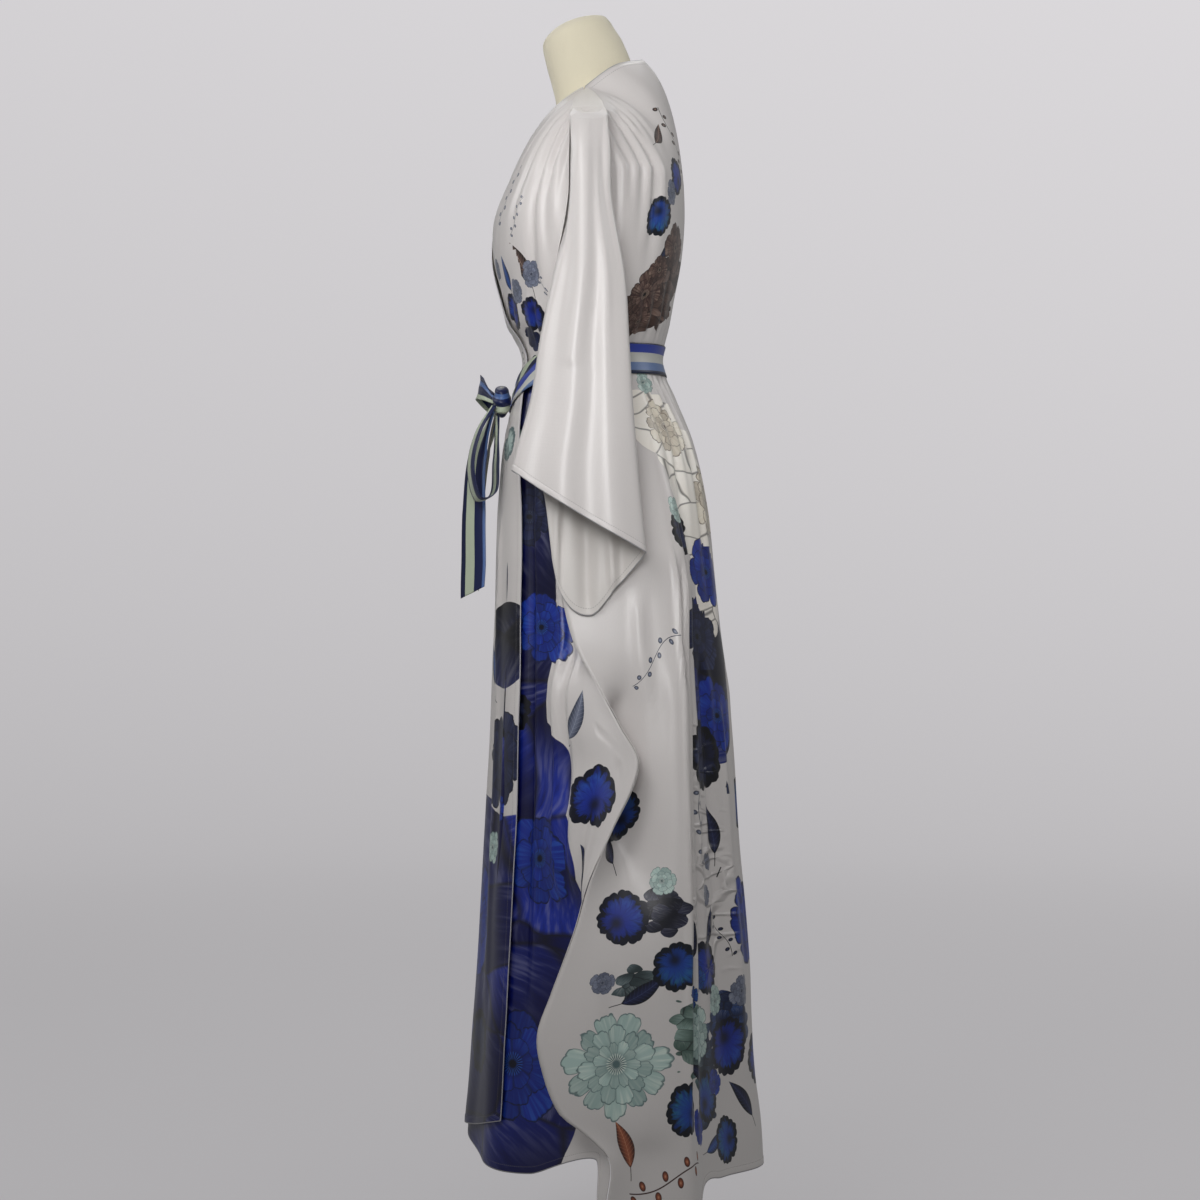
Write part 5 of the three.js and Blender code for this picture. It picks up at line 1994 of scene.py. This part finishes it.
@dataclass
class Belt:
    """The striped ribbon belt: its band, knot, two loops and two tails.

    Attributes:
        ribbon: its finish.
        width: the band's width in millimetres.
        thick: the ribbon's thickness in millimetres.
        clear: how far the band lies off the gown.
        back: the band's middle height at the back.
        side: its middle height at the sides.
        knot: its middle height at the knot.
        knot_at: the knot's middle.
        knot_size: the knot's half sizes.
        lie: how far the band spans the waist's hollow, from 0 to 1.
        lift: how far its middle stands off besides, as room for its folds.
        folds: how many lengthwise folds it has.
        fold_depth: how deep they are at the knot.
    """

    ribbon: Material
    width: float = 40.0
    thick: float = 1.0
    clear: float = 1.2
    back: float = 1214.0
    side: float = 1206.0
    knot: float = 1166.0
    knot_at: Point = (26, -160.2, 1160)
    knot_size: Point = (20, 12, 21)
    lie: float = 0.3
    lift: float = 0.8
    folds: float = 2.5
    fold_depth: float = 1.3

    def height(self, angle: float) -> float:
        """The band's middle height at an angle round the body."""
        away = abs(((angle + 540) % 360) - 180)
        if away > 90:
            return mix(self.side, self.back, (away - 90) / 90)
        return mix(self.knot, self.side, math.sin(math.radians(away)))

    def band_point(self, angle: float, share: float) -> Point:
        """A point of the band at an angle round the body and a share of its width."""
        middle = self.height(angle)
        heights = [middle + s * self.width for s in (-0.5, 0, 0.5)]
        widest = max(row_at(SECTIONS, round(z, 2)).half for z in heights)
        z = middle + self.width * (share - 0.5)
        row = row_at(SECTIONS, round(z, 2))
        half = max(row.half, mix(row.half, widest, self.lie))
        waist = BodyRow(z, row.front, row.back, row.side, half)
        return body_point(waist, angle, -self.clear - CLOTH / 2 - self.lift)

    def band(self) -> Piece:
        """Builds the band, with lengthwise folds that deepen towards the knot."""
        angles = np.linspace(0, 360, 181)
        shares = np.linspace(0, 1, 17)
        points = np.array([[self.band_point(a, s) for a in angles] for s in shares])
        cloth = Cloth("belt_band_ribbon", points, angles, closed=True)
        front = np.clip((90 - np.abs((angles + 540) % 360 - 180)) / 90, 0, 1) ** 1.2
        fold = np.sin(shares * 2 * math.pi * self.folds)[:, None] * front[None, :] * self.fold_depth
        cloth.push(fold + 0.15)
        cloth.edge = (shares[:, None] * 0.5 + front[None, :] ** 2 * 0.5) / MM
        return self.dress(cloth, "belt_band", (self.width * MM, cloth.extent()[0]))

    def strip(
        self, name: str, stations: Sequence[RibbonPoint], rows: int = 72, columns: int = 15
    ) -> Piece:
        """Builds a loop or a tail.

        Args:
            name: the solid that it stands for.
            stations: the places along it.
            rows: how many rows it has.
            columns: how many columns lie across it.

        Returns:
            The piece.
        """
        last = len(stations) - 1
        middles = [s.at for s in stations]
        points = np.zeros((rows, columns, 3))
        widths = np.zeros(rows)
        shares = np.linspace(-0.5, 0.5, columns)
        for r in range(rows):
            place = r / (rows - 1) * last
            k = min(int(place), last - 1)
            a, b = stations[k], stations[k + 1]
            across = Vector(blend(a.across, b.across, place - k)).normalized()
            widths[r] = mix(a.width, b.width, place - k)
            middle = Vector(through(middles, place))
            for c, share in enumerate(shares):
                points[r, c] = middle + across * share * float(widths[r])
        cloth = Cloth(name + "_ribbon", points, shares)
        tight = 1 - smooth((widths - 10) / 26)
        pleat = np.cos(shares * 4 * math.pi)[None, :] * (0.35 + tight[:, None] * 1.6)
        curl = (shares**2)[None, :] * 5.0 * np.sin(np.linspace(0, 5, rows))[:, None]
        cloth.push(pleat + curl)
        low, high = SHOWN[name]
        cloth.edge = np.repeat((low + (shares + 0.5) * (high - low))[None, :], rows, axis=0) / MM
        return self.dress(cloth, name, (self.width * MM, cloth.length * MM))

    def dress(self, cloth: Cloth, node: str, flat: tuple[float, float]) -> Piece:
        """Makes a ribbon's object, with its finish, and logs its cut size."""
        piece = dressed(cloth.build(), (self.ribbon,), node, self.thick)
        LOG.info("%s: cut %.3f by %.3f m", piece.name, *flat)
        return piece

    def tie(self) -> Piece:
        """Builds the knot: a wrapped pad with grooves where the ribbon turns over itself."""
        ball = bmesh.new()
        bmesh.ops.create_uvsphere(ball, u_segments=72, v_segments=44, radius=1)
        flat = ball.loops.layers.uv.new("flat")
        hem = ball.loops.layers.uv.new("hem")
        for face in ball.faces:
            face.smooth = True
            for loop in face.loops:
                co = loop.vert.co
                share = 0.72 + 0.24 * (co.z * 0.9 + co.x * 0.3)
                loop[flat].uv = (co.x * 0.02, co.z * 0.02)
                loop[hem].uv = (co.x * 0.02, share)
        for vert in ball.verts:
            slant = vert.co.z * 0.9 + vert.co.x * 0.3
            groove = 1 + 0.07 * math.sin(slant * 11) * (1 - vert.co.y * 0.4)
            moved = [c * s * groove + a for c, s, a in zip(vert.co, self.knot_size, self.knot_at)]
            vert.co = Vector(moved) * MM
        return dressed(finished("belt_knot_wrap", ball), (self.ribbon,), "belt_knot")

    def build(self) -> list[Piece]:
        """Builds the belt's pieces."""
        return [self.band(), self.tie(), *(self.strip(name, stations) for name, stations in BOW.items())]


# The dress form, its stand and the studio


@dataclass
class DressForm:
    """The limbless form: a trunk up to the shoulder line, and a neck that leans forwards.

    Attributes:
        jersey: its cover's finish.
        columns: how many columns go round it.
        drop: how far its shoulder line lies below the gown's.
        rise: how far its yoke rises before it turns in.
        trunk: its levels below the yoke.
        neck: the neck's levels, each as z, y and half width, then half depth and tilt.
        crown: the point where the trunk closes, inside the neck.
    """

    jersey: Material
    crown: Point = (0.0, -34.0, 1585.0)
    columns: int = 96
    drop: float = 1.3
    rise: float = 0.68
    trunk: tuple[BodyRow, ...] = table(
        BodyRow,
        (762, -118, 92, -18, 118),
        (800, -128, 104, -18, 146),
        (900, -136, 112, -20, 160),
        (1023, -140, 98, -28, 152),
        (1130, -132, 62, -36, 130),
        (1211, -124, 44, -40, 121),
        (1291, -142, 58, -42, 134),
        (1360, -158, 68, -42, 146),
        (1404, -154, 74, -42, 156),
        (1450, -138, 76, -42, 168),
    )
    neck: tuple[tuple[Point, Point], ...] = (
        ((1550, -28, 54), (56, 0.5, 0)),
        ((1594, -38, 49), (51, 0.5, 0)),
        ((1630, -50, 50), (50, 0.4, 0)),
        ((1657, -60, 49), (46, 0.32, 0)),
        ((1669, -58, 39), (37, 0.28, 0)),
        ((1677, -52, 19), (19, 0.2, 0)),
        ((1678, -51, 0.2), (0.2, 0.2, 0)),
    )

    def shoulder(self, share: float) -> Point:
        """A place on the form's shoulder line."""
        x, y, z = on_shoulder(share * 0.9)
        return (x, y, z - self.drop)

    def top_of(self, angle: float) -> Point:
        """The top edge above an angle: neck foot, shoulder line and nape."""
        stops = [(0, (0, -78, 1552)), (16, (42, -68, 1560))]
        stops += [(30 + 15 * i, self.shoulder(share)) for i, share in enumerate((0, 0.25, 0.5, 0.75, 1))]
        stops += [(106 + 16 * i, self.shoulder(share)) for i, share in enumerate((0.75, 0.5, 0.25, 0))]
        stops += [(167, (46, -16, 1594)), (180, (0, 17, 1612))]
        for (a, start), (b, end) in zip(stops, stops[1:]):
            if angle <= b:
                return blend(start, end, (angle - a) / (b - a))
        return stops[-1][1]

    def body(self) -> Piece:
        """Builds the trunk, closed below."""
        angles = np.linspace(-180, 180, self.columns + 1)
        rows = []
        low, high = self.trunk[0].z, self.trunk[-1].z
        for z in np.linspace(low, high, 44):
            row = row_at(self.trunk, float(z))
            rows.append([body_point(row, a) for a in angles])
        base = rows[-1]
        for share in np.linspace(0, 1, 15)[1:]:
            ring = []
            for a, start in zip(angles, base):
                x, y, z = self.top_of(abs(a))
                pull = PULL_FRONT if abs(a) < 90 else PULL_BACK
                ring.append(yoke_point(start, (math.copysign(x, a), y, z), pull, self.rise, float(share)))
            rows.append(ring)
        rows.insert(0, [(0.0, self.trunk[0].side, low)] * len(angles))
        rows.append([self.crown] * len(angles))
        cloth = Cloth("form_trunk", np.array(rows), angles, closed=True)
        return dressed(cloth.build(), (self.jersey,), "form_body")

    def throat(self) -> Piece:
        """Builds the neck, rounded over at its top."""
        angles = np.linspace(-180, 180, self.columns + 1)
        last = len(self.neck) - 1
        rows = []
        for place in np.linspace(0, last, 60):
            z, y, wide = through([a for a, _ in self.neck], float(place))
            deep, tilt, _ = through([b for _, b in self.neck], float(place))
            ring = []
            for a in np.radians(angles):
                back = -math.cos(a) * max(deep, 0.0)
                ring.append((math.sin(a) * max(wide, 0.0), y + back, z + tilt * back))
            rows.append(ring)
        cloth = Cloth("form_neck", np.array(rows), angles, closed=True)
        return dressed(cloth.build(), (self.jersey,), None)

    def build(self) -> list[Piece]:
        """Builds the trunk and the neck."""
        return [self.body(), self.throat()]


@dataclass
class Stand:
    """The steel pole with its collar, and the round base.

    Attributes:
        steel: the finish.
        pole: the pole's radius in millimetres.
        collar: the collar's radius and height.
        base: the base's radius and height.
        top: where the pole meets the form.
        steps: how many steps a turn has.
        sharp: the angle, in degrees, above which an edge is sharp.
    """

    steel: Material
    pole: float = 14.0
    collar: tuple[float, float] = (34.0, 8.0)
    base: tuple[float, float] = (190.0, 8.0)
    top: float = 761.7
    steps: int = 128
    sharp: float = 40.0

    def turned(self, name: str, node: str, profile: Sequence[tuple[float, float]]) -> Piece:
        """Spins a profile of radius and height round the pole's axis.

        Args:
            name: the piece's name.
            node: the solid that it stands for.
            profile: its points in millimetres, from the axis round to the axis.

        Returns:
            The piece.
        """
        lathe = spun([(r * MM, z * MM) for r, z in profile], self.steps)
        bmesh.ops.recalc_face_normals(lathe, faces=lathe.faces)
        piece = finished(name, lathe)
        piece.data.set_sharp_from_angle(angle=math.radians(self.sharp))
        return dressed(piece, (self.steel,), node)

    def build(self) -> list[Piece]:
        """Builds the pole and the base."""
        foot = self.base[1] + SEAM
        collar, high = self.collar
        pole = [
            (0, foot),
            (collar - 0.6, foot),
            (collar, foot + 0.6),
            (collar, foot + high - 1),
            (collar - 1, foot + high),
            (self.pole + 5, foot + high),
            (self.pole + 1.5, foot + high + 1.2),
            (self.pole, foot + high + 4),
            (self.pole, self.top - 0.5),
            (self.pole - 0.5, self.top),
            (0, self.top),
        ]
        rim, high = self.base
        base = [(0, 0), (rim - 2, 0), (rim - 0.6, 0.6), (rim, 2), (rim, 5)]
        base += [(rim - 1.2, 6.8), (rim - 4, high), (0, high)]
        return [
            self.turned("pole_tube", "stand_pole", pole),
            self.turned("base_plate", "stand_base", base),
        ]


@dataclass
class Studio:
    """A pale paper bowl, soft lights and the camera.

    Attributes:
        paper: the bowl's finish.
        distance: how far the camera stands from the object's axis, in metres.
        aim: the y and z that it looks at, in metres.
        frame: the width of what it sees at the axis, in metres.
    """

    paper: Material
    distance: float = 3.2
    aim: tuple[float, float] = (-0.029, 0.894)
    frame: float = 1.62

    def bowl(self) -> None:
        """Builds the floor, which curves up into a wall all round."""
        floor, bend, low, high = 5.0, 2.2, -0.0006, 6.0
        profile = [(0.0, low), (1.0, low), (2.5, low), (floor, low)]
        for a in np.linspace(0, math.pi / 2, 13)[1:]:
            profile.append((floor + bend * math.sin(a), bend * (1 - math.cos(a)) + low))
        profile.append((floor + bend, high))
        backdrop = finished("studio_bowl", spun(profile, 96))
        backdrop.data.materials.append(self.paper)
        backdrop.visible_diffuse = False
        backdrop.visible_glossy = False

    def light(
        self, name: str, at: Point, aim: Point, size: tuple[float, float], power: float, spread: float = 180.0
    ) -> None:
        """Adds a softbox.

        Args:
            name: its name.
            at: its place, in metres.
            aim: where it points.
            size: its width and height.
            power: its power in watts.
            spread: the angle that it lights, in degrees.
        """
        data = bpy.data.lights.new(name, "AREA")
        data.shape = "RECTANGLE"
        data.size, data.size_y = size
        data.energy = power
        data.spread = math.radians(spread)
        lamp = bpy.data.objects.new(name, data)
        lamp.location = at
        lamp.rotation_euler = (Vector(aim) - Vector(at)).to_track_quat("-Z", "Y").to_euler()
        lamp.visible_camera = False
        bpy.context.scene.collection.objects.link(lamp)

    def camera(self) -> None:
        """Sets up the camera, level and square to the wearer's left side."""
        data = bpy.data.cameras.new("camera")
        data.sensor_width = 36
        data.lens = 36 * self.distance / self.frame
        data.dof.use_dof = False
        eye = bpy.data.objects.new("camera", data)
        eye.location = (self.distance, *self.aim)
        eye.rotation_euler = (math.pi / 2, 0, math.pi / 2)
        bpy.context.scene.collection.objects.link(eye)
        bpy.context.scene.camera = eye

    def sky(self) -> None:
        """Sets the even light from above the bowl."""
        world = bpy.data.worlds.new("studio")
        world.use_nodes = True
        background = world.node_tree.nodes["Background"]
        background.inputs["Color"].default_value = (1, 1, 1, 1)
        background.inputs["Strength"].default_value = 0.2
        bpy.context.scene.world = world

    def build(self) -> None:
        """Builds the studio."""
        self.bowl()
        chest = (0.0, 0.0, 1.3)
        self.light("key", (1.6, -0.9, 2.3), chest, (0.8, 1.0), 13)
        self.light("fill", (1.9, 1.1, 2.1), chest, (0.8, 1.0), 3)
        self.light("side", (1.8, -0.15, 1.45), (0.0, 0.0, 1.32), (0.6, 0.6), 2.2, 75)
        self.light("front", (-0.3, -1.9, 2.3), chest, (0.9, 0.9), 7)
        self.light("far_side", (-1.4, 0.0, 3.0), chest, (1.6, 1.6), 13)
        self.light("behind", (-0.3, 1.9, 2.3), chest, (0.9, 0.9), 7)
        self.sky()
        self.camera()
        bpy.context.scene.view_settings.view_transform = "Standard"


def main() -> None:
    """Builds the whole object and its studio."""
    logging.basicConfig(level=logging.INFO, format="%(name)s: %(message)s")
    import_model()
    printed = Satin("printed_satin", printed=True)
    reverse = Satin("printed_satin_reverse", (186, 182, 178), 0.5, 0.2, printed=True, fade=0.35)
    plain = Satin("plain_satin")
    plain_reverse = Satin("plain_satin_reverse", (214, 209, 205), 0.42, 0.15)
    pieces: list[Piece] = []
    pieces += Gown(printed.material(), reverse.material()).build()
    pieces += Sleeves(plain.material(), plain_reverse.material()).build()
    pieces += Belt(Ribbon("belt_ribbon").material()).build()
    pieces += DressForm(Jersey("form_jersey").material()).build()
    pieces += Stand(Steel("stand_steel").material()).build()
    for piece in pieces:
        LOG.info("%s: %d faces", piece.name, len(piece.data.polygons))
    Studio(Backdrop("studio_paper").material()).build()


if __name__ == "__main__":
    main()
